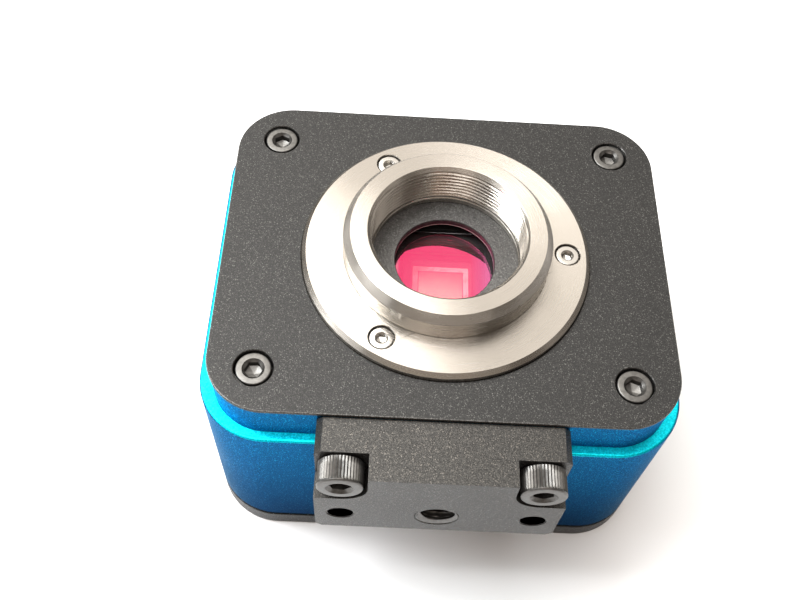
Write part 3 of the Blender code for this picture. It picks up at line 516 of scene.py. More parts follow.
# %% Front plate
plate_low, plate_high = span("front_plate")
ring_low, ring_high = span("c_mount_ring")
PLATE_HALF, PLATE_CORNER = (plate_high.x, plate_high.y), 9.5
PLATE_TOP = plate_high.z
LIP, PLUG_INSET, PLATE_BODY = 0.5, 3.6, 4.0
RECESS, LIGHT_HOLE, LAND, WELL = 2.0, 8.3, 1.2, 12.2
PAD_RADIUS, RING_GAP = 25.4, 0.1
EDGE, HIGHLIGHT_STRIP_WIDTH = 0.18, 0.10
SINK_GAP, SINK_DEPTH, SCREW_HOLE = 0.35, 3.2, 1.7


def screw_at(node):
    """The middle of a screw's head and the radius of the head, seen along Z."""
    low, high = span(node)
    return middle_of(low, high), (high.x - low.x) / 2


def finish_between(bm, index, low, high):
    """Gives the faces whose middles lie between two heights the finish of that number."""
    for face in bm.faces:
        if low + 0.001 < face.calc_center_median().z < high - 0.001:
            face.material_index = index


def front_plate():
    """The plate, whose faces get their finish by height: edges with painted highlights, a painted highlight
    strip, light hole and recess with painted light.
    """
    bm = bmesh.new()
    rim = [shrunk(PLATE_HALF, PLATE_CORNER, inset, PLATE_TOP - drop) for inset, drop in easing(EDGE)]
    lip, plug = PLATE_TOP - LIP, PLATE_TOP - PLATE_BODY
    rim.append((PLATE_HALF, PLATE_CORNER, lip))
    rim += [shrunk(PLATE_HALF, PLATE_CORNER, PLUG_INSET, z) for z in (lip, plug)]
    top, under = fence(bm, rim, steps=24)
    floor, wall = PLATE_TOP - RECESS, ring_high.x + RING_GAP
    middle = [(PAD_RADIUS, plug), (PAD_RADIUS, plate_low.z), (WELL, plate_low.z), (WELL, floor - LAND)]
    middle += [(LIGHT_HOLE, floor - LAND + rise) for rise in (0, HIGHLIGHT_STRIP_WIDTH, LAND - BROKEN)]
    middle += [(LIGHT_HOLE + BROKEN, floor)]
    middle += [(wall, floor), (wall, PLATE_TOP - BROKEN), (wall + BROKEN, PLATE_TOP)]
    pad, recess = bore(bm, middle, steps=160)
    tops, bottoms = [top, recess], [under, pad]
    for number in range(1, 5):
        at, head = screw_at(f"front_plate_screw_{number}")
        sink, seat = head + SINK_GAP, PLATE_TOP - SINK_DEPTH
        hole = [(sink + BROKEN, PLATE_TOP), (sink, PLATE_TOP - BROKEN), (sink, seat)]
        hole += [(SCREW_HOLE, seat), (SCREW_HOLE, plug)]
        mouth, tail = bore(bm, hole, at, 48)
        tops.append(mouth)
        bottoms.append(tail)
    fill(bm, *tops)
    fill(bm, *bottoms)
    # The rounded top edge gets the smooth finish that is painted lighter as a highlight
    finish_between(bm, 1, PLATE_TOP - EDGE, PLATE_TOP)
    # The strip at the bottom of the light hole gets the grey painted as a highlight
    finish_between(bm, 2, floor - LAND, floor - LAND + HIGHLIGHT_STRIP_WIDTH)
    finish_between(bm, 3, floor - LAND + HIGHLIGHT_STRIP_WIDTH, floor - BROKEN)
    # The recess floor gets the finish with painted light
    finish_between(bm, 4, floor - 0.01, floor + 0.01)
    finishes = [black_skin, smooth_edge_highlight_skin, painted_highlight_strip, hole_skin, recess_painted_light_skin]
    add_piece(bm, "front_plate_fine", finishes, "front_plate")


front_plate()

# %% [markdown]
# ## Body shell
# The body is milled from one block. Below the plate it steps out by 2 mm, and the step's edge is lightly
# rounded, which is what catches the light all round. Inside, four posts take the screws.

# %% Body shell
shell_low, shell_high = span("body_shell")
BODY_HALF, BODY_CORNER = (shell_high.x, shell_high.y), 11.2
UPPER_HALF, UPPER_CORNER = (PLATE_HALF[0] - 0.2, PLATE_HALF[1] - 0.2), 9.3
SHOULDER, ROOF = PLATE_TOP - 7.6, 2.0
UPPER_WALL, LOWER_WALL = 3.2, 3.0
OPENING_CORNER, CAVITY_CORNER = 5.0, 8.0
SHOULDER_EDGE, FOOT_EDGE = 0.45, 0.15
POST_RADIUS = 4.4


def body_shell():
    bm = bmesh.new()
    low, high, roof = shell_low.z, shell_high.z, SHOULDER - ROOF
    opening = (UPPER_HALF[0] - UPPER_WALL, UPPER_HALF[1] - UPPER_WALL)
    cavity = (BODY_HALF[0] - LOWER_WALL, BODY_HALF[1] - LOWER_WALL)
    mouth = (opening, OPENING_CORNER, high)
    outside = [shrunk(UPPER_HALF, UPPER_CORNER, inset, high - drop) for inset, drop in easing(BROKEN)]
    outside.append((UPPER_HALF, UPPER_CORNER, SHOULDER))
    for inset, drop in easing(SHOULDER_EDGE, 5):
        outside.append(shrunk(BODY_HALF, BODY_CORNER, inset, SHOULDER - drop))
    for inset, drop in reversed(easing(FOOT_EDGE)):
        outside.append(shrunk(BODY_HALF, BODY_CORNER, inset, low + drop))
    inside = [(cavity, CAVITY_CORNER, low), (cavity, CAVITY_CORNER, roof), (opening, OPENING_CORNER, roof)]
    fence(bm, [mouth, *outside, *inside, mouth], steps=28)
    top = PLATE_TOP - PLATE_BODY - FIT
    post = [(SCREW_HOLE, top), (POST_RADIUS, top), (POST_RADIUS, low), (SCREW_HOLE, low)]
    for number in range(1, 5):
        at, _ = screw_at(f"front_plate_screw_{number}")
        bore(bm, [*post, post[0]], at, 32)
    add_piece(bm, "body_shell_fine", blue_skin, "body_shell")


body_shell()

# %% [markdown]
# ## Screw threads
# A thread is a groove that climbs as it goes round. A plain wall with many fine rings becomes a thread
# when each of its points is moved out by how far along the groove it is, which depends on its height and
# on its angle. The groove fades out over its last turn, as a tap leaves it.


# %% Screw threads
def threaded(bm, radius, depth, pitch, low, high, at=(0, 0)):
    """Cuts a thread into the points of a wall near that radius, between low and high."""
    for vert in bm.verts:
        x, y, z = vert.co.x - at[0], vert.co.y - at[1], vert.co.z
        distance = math.hypot(x, y)
        if abs(distance - radius) > 0.9 * depth or not low <= z <= high:
            continue
        phase = (z / pitch - math.atan2(y, x) / math.tau) % 1.0
        groove = min(1.0, max(0.0, 1.35 - 3.0 * abs(phase - 0.5)))
        fade = min(1.0, (z - low) / pitch)
        grown = max(radius + depth * groove * fade, distance) / distance
        vert.co.x, vert.co.y = at[0] + x * grown, at[1] + y * grown


def steps_between(radius, high, low, count):
    """Points of a straight wall, from high to low, in that many steps."""
    return [(radius, high + (low - high) * step / count) for step in range(count + 1)]


print("threads ready")

# %% [markdown]
# ## Lens mount
# The mount is one turned ring: a flange that sinks into the plate, a neck with a broad chamfer, and a
# one-inch thread of 32 turns to the inch. A thin groove separates neck and flange. The ring's wall is a
# profile spun round the axis, and the flange's two faces are filled round the three screw holes.

# %% Lens mount
FLANGE = PLATE_TOP + 1.4
NECK = 16.85
BORE, LEAD_IN = 12.3, 0.7
PITCH, THREAD_DEPTH = 25.4 / 32, 0.42
THREAD_END = PLATE_TOP - 0.7
ROUND_STEPS, STEPS_PER_TURN = 256, 12
RING_SCREWS = [f"ring_screw_{number}" for number in range(1, 4)]


def spun(bm, points, steps):
    """A profile of (radius, z) spun all the way round the Z axis."""
    verts = [bm.verts.new((radius, 0, z)) for radius, z in points]
    edges = [bm.edges.new(pair) for pair in zip(verts, verts[1:])]
    geometry = verts + edges
    bmesh.ops.spin(
        bm, geom=geometry, axis=(0, 0, 1), cent=(0, 0, 0), angle=math.tau, steps=steps, use_merge=True
    )


def boundary(bm, z):
    """The open edges that lie at that height."""
    level = [edge for edge in bm.edges if all(abs(vert.co.z - z) < 1e-4 for vert in edge.verts)]
    return [edge for edge in level if edge.is_boundary]


def lens_mount():
    bm = bmesh.new()
    low, high, edge = ring_low.z, ring_high.z, ring_high.x
    flange = [(edge - 0.7, FLANGE), (edge - 0.03, FLANGE - 0.67), (edge, FLANGE - 0.72), (edge, low)]
    spun(bm, flange, ROUND_STEPS)
    # The groove at the neck's foot, the chamfer and the flat face
    inner = [(NECK + 0.12, FLANGE), (NECK - 0.1, FLANGE - 0.05)]
    inner += [(NECK - 0.1, FLANGE + 0.1), (NECK, FLANGE + 0.16), (NECK, high - 1.4)]
    inner += [(NECK - 0.05, high - 1.3), (NECK - 1.05, high - 0.04), (NECK - 1.15, high)]
    inner += [(BORE + LEAD_IN + 0.05, high)]
    # The lead-in, the wall that the thread is cut into and the narrower end
    start = high - 0.03
    drops = [LEAD_IN * step / 10 for step in range(11)]
    inner += [(BORE + LEAD_IN - drop, start - drop) for drop in drops]
    count = round((start - LEAD_IN - THREAD_END) / PITCH * STEPS_PER_TURN)
    inner += steps_between(BORE, start - LEAD_IN, THREAD_END, count)[1:]
    inner += [(BORE - 0.15, THREAD_END - 0.15), (BORE - 0.15, low)]
    spun(bm, inner, ROUND_STEPS)
    bmesh.ops.remove_doubles(bm, verts=bm.verts, dist=0.0005)
    tops, bottoms = boundary(bm, FLANGE), boundary(bm, low)
    threaded(bm, BORE, THREAD_DEPTH, PITCH, THREAD_END, high - 0.1)
    for node in RING_SCREWS:
        at, head = screw_at(node)
        sink, seat = head + FIT, FLANGE - 2.3
        hole = [(sink + 0.08, FLANGE), (sink, FLANGE - 0.08), (sink, seat), (1.15, seat), (1.15, low)]
        mouth, tail = bore(bm, hole, at, 48)
        tops += mouth
        bottoms += tail
    fill(bm, tops)
    fill(bm, bottoms)
    add_piece(bm, "lens_mount_fine", steel, "c_mount_ring")


lens_mount()

# %% [markdown]
# ## Cap screws
# All the screws that show are cap screws with a hexagon socket. The small ones are sunk, so only their top
# matters. The two in the bracket stand in the open, and their knurled heads are a wave in the radius.

# %% Cap screws
# Width of the head: its height and the shank's radius
HEADS = {3.8: (1.9, 0.95), 5.5: (2.8, 1.5), 7.0: (4.0, 2.0)}
KNURL_DEPTH = 0.045


def hexagon(bm, flat, z, turn):
    """A loop of edges round a hexagon that is that wide across its flats, with 48 points."""
    loop = circle(bm, 1, z, steps=48, turn=turn)
    sixth = math.radians(60)
    for vert in {vert for edge in loop for vert in edge.verts}:
        angle = math.atan2(vert.co.y, vert.co.x) - turn
        vert.co.xy *= flat / 2 / math.cos((angle + sixth / 2) % sixth - sixth / 2)
    return loop


def cap_screw(node, finish, socket, turn=None, knurl=0, spin=0.0):
    """A screw with its head upwards, which is then turned and put where the node is."""
    low, high = span(node)
    middle = (low + high) / 2
    sizes = sorted(high - low)
    head_radius, length = sizes[0] / 2, sizes[2]
    head, shank = HEADS[round(sizes[0], 1)]
    steps = knurl * 4 if knurl else 64
    bevel = head_radius * 0.09
    bm = bmesh.new()
    tip = head - length
    profile = [(shank * 0.75, tip), (shank, tip + shank * 0.25), (shank, 0), (head_radius - bevel / 2, 0)]
    profile += [(head_radius, bevel / 2)]
    if knurl:
        profile += steps_between(head_radius, head * 0.2, head - bevel * 1.6, 10)
    profile += [(head_radius, head - bevel)]
    inner, under = head_radius - bevel, head - bevel
    profile += [(inner + bevel * math.sin(a), under + bevel * math.cos(a)) for a in (1.0, 0.5, 0)]
    end, rim = bore(bm, profile, steps=steps)
    loops = [circle(bm, socket * 0.70, head, steps=48)]
    loops.append(circle(bm, socket * 0.67, head - socket * 0.04, steps=48))
    loops += [hexagon(bm, socket, z, spin) for z in (head - socket * 0.17, head * 0.45)]
    loops.append(circle(bm, socket * 0.06, head * 0.45 - socket * 0.16, steps=48))
    mouth, floor = bridge(bm, loops)
    fill(bm, rim, mouth)
    close(bm, (floor, end))
    if knurl:
        for vert in bm.verts:
            radius = math.hypot(vert.co.x, vert.co.y)
            if abs(radius - head_radius) < 0.01 and head * 0.2 < vert.co.z < head - bevel * 1.5:
                wave = 0.5 - 0.5 * math.cos(knurl * math.atan2(vert.co.y, vert.co.x))
                vert.co.xy *= 1 - KNURL_DEPTH * wave
    bmesh.ops.translate(bm, verts=bm.verts, vec=(0, 0, length / 2 - head))
    place = Matrix.Translation(middle) @ (turn or Matrix.Identity(4))
    add_piece(bm, f"{node}_fine", finish, node, matrix=place)


FLIPPED = Matrix.Rotation(math.pi, 4, "X")
SIDEWAYS = Matrix.Rotation(math.radians(90), 4, "X")
for number, spin in enumerate((0.3, 1.1, 0.6, 0.15), start=1):
    cap_screw(f"front_plate_screw_{number}", black_steel, 2.5, spin=spin)
    cap_screw(f"back_cover_screw_{number}", black_steel, 2.5, FLIPPED, spin=spin + 0.4)
for node, spin in zip(RING_SCREWS, (0.2, 0.9, 0.5)):
    cap_screw(node, screw_steel, 1.5, spin=spin)
for number, spin in enumerate((0.35, 0.1), start=1):
    cap_screw(f"bracket_screw_{number}", black_steel, 3.0, SIDEWAYS, knurl=44, spin=spin)

# %% [markdown]
# ## Tripod bracket
# The bracket is a milled block. Cutting tools leave square pockets and round holes, so a block with
# Boolean cuts is the honest way to make it, and a Bevel modifier then breaks every edge, as anodised parts
# always have them broken. The tapped holes get a lining with a real thread.

# %% Tripod bracket
bracket_low, bracket_high = span("tripod_bracket")
BRACKET_HALF = (bracket_high.x - bracket_low.x) / 2
BODY_FACE = BODY_HALF[1] + FIT
screw_low, screw_high = span("bracket_screw_1")
SCREW_X, SCREW_Z = -(screw_low.x + screw_high.x) / 2, (screw_low.z + screw_high.z) / 2
NOTCH, NOTCH_DEPTH, CHAMFER = 4.1, 4.2, 1.0
SHANK_HOLE = 2.2
HOLE_ROW = bracket_low.z + 6.0
# Place along X, radius, pitch and depth of each tapped hole
TAPPED = ((0.0, 3.175, 1.27, 6.5), (-SCREW_X, 2.0, 0.7, 6.0), (SCREW_X, 2.0, 0.7, 6.0))


def box_between(low, high):
    """A closed box between two corners."""
    bm = bmesh.new()
    bmesh.ops.create_cube(bm, size=1)
    size = Vector(high) - Vector(low)
    bmesh.ops.scale(bm, vec=size, verts=bm.verts)
    bmesh.ops.translate(bm, vec=(Vector(high) + Vector(low)) / 2, verts=bm.verts)
    return bm


def edges_along_y(bm, at=None):
    """The edges that run along Y: all of them, or only the one at that x and z."""
    found = [edge for edge in bm.edges if abs((edge.verts[0].co - edge.verts[1].co).y) > 0.1]
    if at is None:
        return found
    return [edge for edge in found if (edge.verts[0].co.xz - Vector(at)).length < 0.01]


def rod_along_y(radius, near, far, x, z):
    """A closed rod along Y."""
    bm = bmesh.new()
    place = Matrix.Translation((x, (near + far) / 2, z)) @ SIDEWAYS
    ends = {"radius1": radius, "radius2": radius, "depth": far - near}
    bmesh.ops.create_cone(bm, cap_ends=True, segments=32, matrix=place, **ends)
    return bm


def drill(x, radius, mouth, depth):
    """A closed drill that leaves a hole of that radius with a wider mouth in the bracket's face."""
    bm = bmesh.new()
    close(bm, bore(bm, [(mouth + 2.0, 2.0), (radius, radius - mouth), (radius, -depth)], steps=72))
    bmesh.ops.recalc_face_normals(bm, faces=bm.faces)
    place = Matrix.Translation((x, bracket_low.y, HOLE_ROW)) @ SIDEWAYS
    bmesh.ops.transform(bm, matrix=place, verts=bm.verts)
    return bm


def machined(blank, removed, edge):
    """A bmesh of the blank after Boolean cuts, with its sharp edges rounded in the second finish."""
    body = object_from(blank, "blank")
    tools = [object_from(bm, "tool") for bm in removed]
    for tool in tools:
        boolean = body.modifiers.new("cut", "BOOLEAN")
        boolean.operation = "DIFFERENCE"
        boolean.object = tool
    bevel = body.modifiers.new("break_edges", "BEVEL")
    bevel.width = edge
    bevel.segments = 2
    bevel.limit_method = "ANGLE"
    bevel.angle_limit = math.radians(35)
    bevel.material = 1
    bpy.context.view_layer.update()
    graph = bpy.context.evaluated_depsgraph_get()
    mesh = bpy.data.meshes.new_from_object(body.evaluated_get(graph))
    for used in (body, *tools):
        bpy.data.objects.remove(used, do_unlink=True)
    bm = bmesh.new()
    bm.from_mesh(mesh)
    bpy.data.meshes.remove(mesh)
    return bm


def tripod_bracket():
    face, back = bracket_low.y, bracket_high.y
    low, high = bracket_low.z, bracket_high.z
    straight = {"profile": 0.5, "affect": "EDGES", "material": -1}
    block = box_between((-BRACKET_HALF, face, low), (BRACKET_HALF, back, high))
    bmesh.ops.bevel(block, geom=edges_along_y(block), offset=CHAMFER, segments=1, **straight)
    beyond = (BRACKET_HALF + 1, back + 1, SHOULDER + FIT)
    cuts = [box_between((-BRACKET_HALF - 1, -BODY_FACE, low - 1), beyond)]
    for side in (-1, 1):
        inner, outer = side * (SCREW_X - NOTCH), side * (BRACKET_HALF + 2)
        floor = SCREW_Z - NOTCH
        left, right = sorted((inner, outer))
        notch = box_between((left, face - 2, floor), (right, face + NOTCH_DEPTH, high + 2))
        corner = edges_along_y(notch, (inner, floor))
        bmesh.ops.bevel(notch, geom=corner, offset=NOTCH, segments=16, **straight)
        cuts.append(notch)
        cuts.append(rod_along_y(SHANK_HOLE, face, back + 2, side * SCREW_X, SCREW_Z))
    for x, radius, pitch, depth in TAPPED:
        cuts.append(drill(x, radius + 0.15, radius + 0.3 * pitch, depth))
    bm = machined(block, cuts, BROKEN)
    add_piece(bm, "tripod_bracket_fine", [bracket_skin, smooth_edge_highlight_skin], "tripod_bracket")


def thread_lining(name, x, radius, pitch, depth):
    """A threaded sleeve in one of the bracket's holes."""
    bm = bmesh.new()
    crest = radius - 0.54 * pitch
    outer = radius + 0.14
    start = depth - 0.12
    wall = [(outer, 0.05), (outer, start), (radius + 0.02, start)]
    count = round((depth - 0.5) / pitch * 10)
    wall += steps_between(crest, start - 0.3, 0.3, count)
    wall += [(crest, 0.05), (outer, 0.05)]
    bore(bm, wall, steps=64)
    threaded(bm, crest, radius - crest, pitch, 0.3, start - 0.2)
    place = Matrix.Translation((x, bracket_low.y + depth, HOLE_ROW)) @ SIDEWAYS
    piece = add_piece(bm, name, thread_skin, matrix=place)


tripod_bracket()
for name, (x, radius, pitch, depth) in zip(("tripod_thread", "side_thread_1", "side_thread_2"), TAPPED):
    thread_lining(name, x, radius, pitch, depth)

# %% [markdown]
# ## Window and holder
# The glass in front of the sensor is coated to keep out infrared light, and the coating gives back a deep
# pink. A metallic shader tinted pink, with some of it clear, does both: it mirrors the light in pink and
# still shows the sensor behind. Only the glass's top is coated, because two coated faces would dim what
# lies behind them twice. Its edges are ground. A strip on the left is painted paler and the right side
# violet: painted light and colour for what is seen through the glass there.

# %% Window and holder
window_low, window_high = span("window_glass")
holder_low, holder_high = span("window_holder")
seal_low, seal_high = span("window_seal")
GLASS_EDGE = 0.05
POCKET_MARGIN, SEAL_BORDER = 0.9, 1.6


def coated_glass():
    """A half clear pink mirror, with a paler strip painted on the left and violet painted on the right."""
    recipe = Recipe("window_coating", (1.0, 0.07, 0.22), 0.02, 1.0, Alpha=0.46)
    x, _, _ = recipe.axes()
    # Painted bands by position: a paler strip on the left and violet on the right, for what is seen through
    # the glass
    violet = recipe.ramp(x, 0.0045, 0.0085)
    pale = recipe.ramp(x, -0.0078, -0.0074, 1.0, 0.0)
    smear = recipe.noise(3.0)
    pink = recipe.mix(recipe.ramp(smear, 0.35, 0.75, 0.0, 0.25), (1.0, 0.065, 0.22), (1.0, 0.10, 0.26))
    tinted = recipe.mix(violet, pink, (0.84, 0.17, 0.47))
    recipe.set("Base Color", recipe.mix(pale, tinted, (1.0, 0.19, 0.34)))
    recipe.set("Roughness", 0.01 + 0.02 * smear)
    return recipe.material


def slab(low, high, edge, corner=0.3):
    """A flat block with softened edges, as fence points."""
    half = half_of(low, high)
    return [shrunk(half, corner, inset, high.z - drop) for inset, drop in easing(edge)] + [
        shrunk(half, corner, inset, low.z + drop) for inset, drop in reversed(easing(edge))
    ]


def flat_piece(name, node, finish, edge, corner, steps=6):
    low, high = span(node)
    bm = bmesh.new()
    close(bm, fence(bm, slab(low, high, edge, corner), middle_of(low, high), steps))
    add_piece(bm, name, finish, node)


def window():
    """The glass: its top is coated, its top edge is ground, and the rest is clear."""
    bm = bmesh.new()
    close(bm, fence(bm, slab(window_low, window_high, GLASS_EDGE), steps=6))
    finish_between(bm, 1, window_low.z - 0.1, window_high.z - GLASS_EDGE)
    finish_between(bm, 2, window_high.z - GLASS_EDGE, window_high.z)
    ground = mottled("ground_glass", (0.95, 0.80, 0.84), 0.5, 0.0, 0.3)
    add_piece(bm, "window_fine", [coated_glass(), clear, ground], "window_glass")


window()


def window_holder():
    """The black frame behind the plate, with a pocket for the glass."""
    bm = bmesh.new()
    half = (holder_high.x, holder_high.y)
    pocket = (window_high.x + POCKET_MARGIN, window_high.y + POCKET_MARGIN)
    light = (window_high.x - SEAL_BORDER, window_high.y - SEAL_BORDER)
    floor = seal_low.z - FIT
    top, bottom = fence(bm, [(half, 2.0, holder_high.z), (half, 2.0, holder_low.z)], steps=8)
    step = [(pocket, 0.3, holder_high.z), (pocket, 0.3, floor)]
    step += [(light, 1.0, floor), (light, 1.0, holder_low.z)]
    inner_top, inner_bottom = fence(bm, step, steps=8)
    fill(bm, top, inner_top)
    fill(bm, bottom, inner_bottom)
    add_piece(bm, "window_holder_fine", hole_skin, "window_holder")


def flat_ring(node, corner, opening, opening_corner, steps):
    """A rubber ring as wide as the node, with a rounded opening of that half size."""
    low, high = span(node)
    outer = (high.x, high.y)
    bm = bmesh.new()
    ring = [(outer, corner, high.z), (outer, corner, low.z)]
    ring += [(opening, opening_corner, low.z), (opening, opening_corner, high.z)]
    fence(bm, [*ring, ring[0]], steps=steps)
    add_piece(bm, f"{node}_fine", rubber, node)


window_holder()
flat_ring("window_seal", 0.3, (seal_high.x - SEAL_BORDER, seal_high.y - SEAL_BORDER), 1.0, 6)

# %% [markdown]
# ## Sensor
# The sensor chip sits in a dark package under its own thin glass. A bright frame of bond pads runs round
# the light-sensitive area, which mirrors the light in pale pink because each pixel has a tiny lens.

# %% Sensor
chip_low, chip_high = span("sensor_chip")
package_low, package_high = span("sensor_package")
PAD_BORDER, SLOPE, DARK_LINE = 0.92, 0.13, 0.06


def bright_pads():
    """Pale metal, broken up into small pads."""
    recipe = Recipe("sensor_pads", (1.0, 0.97, 0.80), 0.4, 0.0)
    cells = recipe.specks(1.2)
    gaps = recipe.ramp(cells, 0.5, 0.6)
    recipe.set("Base Color", recipe.mix(gaps, (1.0, 1.0, 0.92), (0.85, 0.72, 0.62)))
    recipe.relief(recipe.noise(0.4), 0.06)
    return recipe.material


def pixel_area():
    """A pale pink mirror with a fine grain."""
    recipe = Recipe("sensor_pixels", (0.9, 0.9, 0.65), 0.25, 1.0)
    _, y, _ = recipe.axes()
    sweep = recipe.ramp(y, -0.004, 0.004)
    recipe.set("Base Color", recipe.mix(sweep, (1.0, 1.0, 0.74), (0.95, 0.92, 0.7)))
    recipe.relief(recipe.noise(0.05), 0.002)
    return recipe.material


def sensor_chip():
    """The chip: a border of pads, a dark line where it slopes down, and the pixels inside."""
    bm = bmesh.new()
    half = half_of(chip_low, chip_high)
    top, pixels = chip_high.z, chip_high.z - DARK_LINE
    insets = ((0, chip_low.z), (0, top), (PAD_BORDER, top), (PAD_BORDER + SLOPE, pixels))
    bottom, inner = fence(bm, [shrunk(half, 0.15, inset, z) for inset, z in insets], steps=4)
    fill(bm, bottom)
    before = set(bm.faces)
    fill(bm, inner)
    finish_between(bm, 2, pixels, top)
    for face in set(bm.faces) - before:
        face.material_index = 1
    finishes = [bright_pads(), pixel_area(), ceramic]
    add_piece(bm, "sensor_chip_fine", finishes, "sensor_chip", smooth=False)


def sensor_package():
    bm = bmesh.new()
    half = (package_high.x, package_high.y)
    seat, well = (half[0] - 1.0, half[1] - 1.0), (half[0] - 1.25, half[1] - 1.25)
    top, shelf, floor = package_high.z, package_high.z - 0.7, chip_low.z - FIT
    points = [(half, 0.3, package_low.z), (half, 0.3, top), (seat, 0.4, top), (seat, 0.4, shelf)]
    points += [(well, 0.3, shelf), (well, 0.3, floor)]
    close(bm, fence(bm, points, steps=4))
    add_piece(bm, "sensor_package_fine", ceramic, "sensor_package")


sensor_chip()
sensor_package()
flat_piece("sensor_cover_glass_fine", "sensor_cover_glass", clear, GLASS_EDGE, 0.2, 3)

# %% [markdown]
# ## Back cover and gasket
# The back cover closes the body with four sunk screws over a thin gasket. It has two cut-outs for the
# sockets and a round hole for the status light.

# %% Back cover and gasket
_, cover_high = span("back_cover")
usb_low, usb_high = span("usb_port")
guide_low, guide_high = span("guide_port")
pipe_low, pipe_high = span("light_pipe")
COVER_TOP, BLOCK, PORT_GAP = 4.0, (10.0, 10.0), 0.25


def back_cover():
    """The cover, lying on z = 0, with a block inside that touches the warm chip's pad."""
    bm = bmesh.new()
    rim = [shrunk(BODY_HALF, BODY_CORNER, inset, drop) for inset, drop in easing(0.5, 5)]
    for inset, drop in reversed(easing(FOOT_EDGE)):
        rim.append(shrunk(BODY_HALF, BODY_CORNER, inset, COVER_TOP - drop))
    ends = [fence(bm, rim, steps=28)]
    for low, high in ((usb_low, usb_high), (guide_low, guide_high)):
        half = half_of(low, high, PORT_GAP)
        wall = [((half[0] + 0.2, half[1] + 0.2), 0.6, 0.0), (half, 0.4, 0.2), (half, 0.4, COVER_TOP)]
        ends.append(fence(bm, wall, middle_of(low, high), steps=6))
    for number in range(1, 5):
        at, head = screw_at(f"back_cover_screw_{number}")
        sink = head + FIT
        hole = [(sink + BROKEN, 0), (sink, BROKEN), (sink, SINK_DEPTH)]
        hole += [(SCREW_HOLE, SINK_DEPTH), (SCREW_HOLE, COVER_TOP)]
        ends.append(bore(bm, hole, at, 48))
    ends.append(bore(bm, [(1.9, 0), (1.7, 0.2), (1.7, COVER_TOP)], middle_of(pipe_low, pipe_high), 32))
    foot, top = fence(bm, [(BLOCK, 0.5, COVER_TOP), (BLOCK, 0.5, cover_high.z)], steps=4)
    fill(bm, *[outer for outer, inner in ends])
    fill(bm, *[inner for outer, inner in ends], foot)
    fill(bm, top)
    add_piece(bm, "back_cover_fine", black_skin, "back_cover")


back_cover()
flat_ring("back_gasket", 10.9, (BODY_HALF[0] - 2.7, BODY_HALF[1] - 2.7), 8.5, 20)

# %% [markdown]
# ## Sockets and status light
# The computer port is a folded metal shell round a plastic tongue, and the guide socket is a plastic jack
# with six spring contacts and a slot for the plug's latch. The contacts are thin gold strips.

# %% Sockets and status light
CONTACT_PITCH = 1.27


def strip(bm, low, high):
    """A thin box added to the bmesh."""
    made = bmesh.ops.create_cube(bm, size=1)["verts"]
    bmesh.ops.scale(bm, vec=Vector(high) - Vector(low), verts=made)
    bmesh.ops.translate(bm, vec=(Vector(high) + Vector(low)) / 2, verts=made)


def usb_port():
    bm = bmesh.new()
    half = half_of(usb_low, usb_high)
    inner = (half[0] - 0.9, half[1] - 0.9)
    points = [(half, 0.5, usb_high.z)]
    points += [shrunk(half, 0.5, inset, usb_low.z + drop) for inset, drop in reversed(easing(0.2))]
    points += [((inner[0] + 0.2, inner[1] + 0.2), 1.1, usb_low.z), (inner, 1.0, usb_low.z + 0.3)]
    points += [(inner, 1.0, usb_high.z - 10.0)]
    close(bm, fence(bm, points, middle_of(usb_low, usb_high), 6))
    add_piece(bm, "usb_port_fine", screw_steel, "usb_port")


def usb_contacts():
    low, high = span("usb_tongue")
    bm = bmesh.new()
    for step in range(4):
        x = low.x + (high.x - low.x) * (step + 0.5) / 4
        for y in (low.y - 0.04, high.y - 0.02):
            strip(bm, (x - 0.3, y, low.z + 0.6), (x + 0.3, y + 0.06, high.z - 0.5))
    piece = add_piece(bm, "usb_contacts", gold)


def guide_port():
    """The plastic jack, and its six contacts as a piece of their own."""
    x, y = middle_of(guide_low, guide_high)
    face, top = guide_low.z, guide_high.z
    jack = box_between(guide_low, guide_high)
    socket = box_between((x - 4.9, y - 3.7, face - 1), (x + 4.9, y + 3.7, top - 7.5))
    latch = box_between((x - 2.2, y - 6.3, face - 1), (x + 2.2, y - 2.7, top - 8.5))
    bm = machined(jack, [socket, latch], 0.2)
    add_piece(bm, "guide_port_fine", [black_plastic, black_plastic], "guide_port")
    bm = bmesh.new()
    for step in range(6):
        middle = x + (step - 2.5) * CONTACT_PITCH
        strip(bm, (middle - 0.22, y + 3.1, face + 1.5), (middle + 0.22, y + 3.3, top - 7.6))
    piece = add_piece(bm, "guide_contacts", gold)


def light_pipe():
    bm = bmesh.new()
    low, high, radius = pipe_low.z, pipe_high.z, (pipe_high.x - pipe_low.x) / 2
    dome = [(radius - back, low + down) for back, down in easing(0.5, 5)]
    close(bm, bore(bm, [*dome, (radius, high)], middle_of(pipe_low, pipe_high), 32))
    add_piece(bm, "light_pipe_fine", clear, "light_pipe")


usb_port()
flat_piece("usb_tongue_fine", "usb_tongue", blue_plastic, 0.3, 0.5)
usb_contacts()
guide_port()
light_pipe()

# %% [markdown]
# ## Pieces inside
# The boards, posts and chips keep the shape that the model gives them. They only get their finishes.

# %% Pieces inside
INSIDE = {
    "sensor_board": board_skin,
    "main_board": board_skin,
    "controller_chip": black_plastic,
    "memory_chip": black_plastic,
    "stack_plug": black_plastic,
    "stack_socket": black_plastic,
    "heat_pad": heat_pad,
    "status_led": clear,
}
for number in range(1, 5):
    INSIDE[f"sensor_standoff_{number}"] = brass
    INSIDE[f"main_standoff_{number}"] = brass
    INSIDE[f"sensor_board_screw_{number}"] = screw_steel
    INSIDE[f"main_board_screw_{number}"] = screw_steel
    INSIDE[f"window_holder_screw_{number}"] = black_steel
for node, finish in INSIDE.items():
    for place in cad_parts[node].material_slots:
        place.material = finish
print(len(INSIDE), "inner pieces have their finishes")

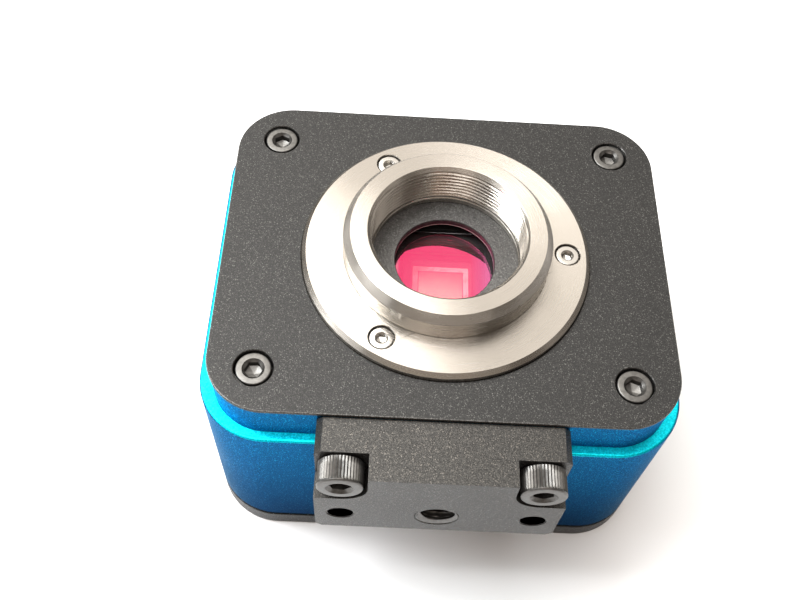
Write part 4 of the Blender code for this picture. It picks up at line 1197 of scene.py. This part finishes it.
# %% [markdown]
# ## Floor and light
# The camera lies on a plain pale floor among soft panels of light. The broad panels behind and above are
# there for the ring and the window, because a mirror with nothing to show looks dead. Three narrow panels
# on the left stand for the panes of a window: they draw the bright streaks in the lens thread. The weak
# panels at the front and the sides lighten the walls, and a warm, dim world fills the shadows.

# %% Floor and light
# Just below the camera, so that the two faces don't share a plane
FLOOR_HALF, BELOW = 3.0, Matrix.Translation((0, 0, -0.05 * MM))
floor_shape = bmesh.new()
bmesh.ops.create_grid(floor_shape, x_segments=2, y_segments=2, size=FLOOR_HALF, matrix=BELOW)
floor = object_from(floor_shape, "floor")
floor_recipe = Recipe("pale_floor", (0.86, 0.865, 0.88), 0.55, 0.0)
floor_cloud = floor_recipe.noise(60.0)
floor_recipe.set("Base Color", floor_recipe.mix(floor_cloud, (0.85, 0.855, 0.87), (0.88, 0.885, 0.90)))
floor.data.materials.append(floor_recipe.material)
floor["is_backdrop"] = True


PANEL_DISTANCE = 0.8
LIT_POINT = Vector((0, 0, 0.04))


def soft_light(name, azimuth, elevation, size, brightness, colour):
    """A panel of that width and height, in metres, at that azimuth and height, which faces the camera."""
    lamp = bpy.data.lights.new(name, "AREA")
    lamp.shape = "RECTANGLE"
    lamp.size, lamp.size_y = size
    lamp.energy = brightness * math.pi * size[0] * size[1]
    lamp.color = colour
    panel = linked(name, lamp)
    direction = towards(azimuth, elevation)
    panel.location = LIT_POINT + direction * PANEL_DISTANCE
    panel.rotation_mode = "QUATERNION"
    panel.rotation_quaternion = (-direction).to_track_quat("-Z", "Y")


soft_light("back_panel", 168, 54, (0.9, 0.75), 1.72, (1.0, 0.95, 0.885))
soft_light("back_left_panel", -143, 54, (0.45, 0.7), 4.4, (1.0, 0.97, 0.92))
for number, azimuth in enumerate((-112, -98, -84), start=1):
    soft_light(f"window_pane_{number}", azimuth, 52, (0.10, 0.5), 19.0, (0.97, 0.99, 1.0))
soft_light("overhead", -60, 83, (0.6, 0.5), 4.4, (1.0, 0.98, 0.95))
soft_light("right_panel", 95, 30, (0.7, 0.4), 0.4, (1.0, 0.93, 0.86))
soft_light("left_low", -72, 20, (0.6, 0.4), 1.1, (0.98, 0.99, 1.0))
soft_light("front_fill", 0, 62, (0.5, 0.4), 0.5, (1.0, 0.60, 0.40))
soft_light("front_low", 0, 25, (1.4, 0.6), 0.22, (1.0, 0.88, 0.76))

world = bpy.data.worlds.new("soft_room")
bpy.context.scene.world = world
world.use_nodes = True
sky = world.node_tree.nodes["Background"]
sky.inputs["Color"].default_value = (1.0, 0.86, 0.74, 1)
sky.inputs["Strength"].default_value = 0.25
bpy.context.scene.view_settings.view_transform = "Standard"
print("floor and soft lights")

# %% [markdown]
# ## Sizes
# The fine model must fill the same box as the fixed one, so both boxes are kept.

# %% Sizes
visual_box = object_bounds()
for corner_cad, corner_fine in zip(cad_box, visual_box):
    print("corner moved by", [round((b - a) / MM, 3) for a, b in zip(corner_cad, corner_fine)], "mm")
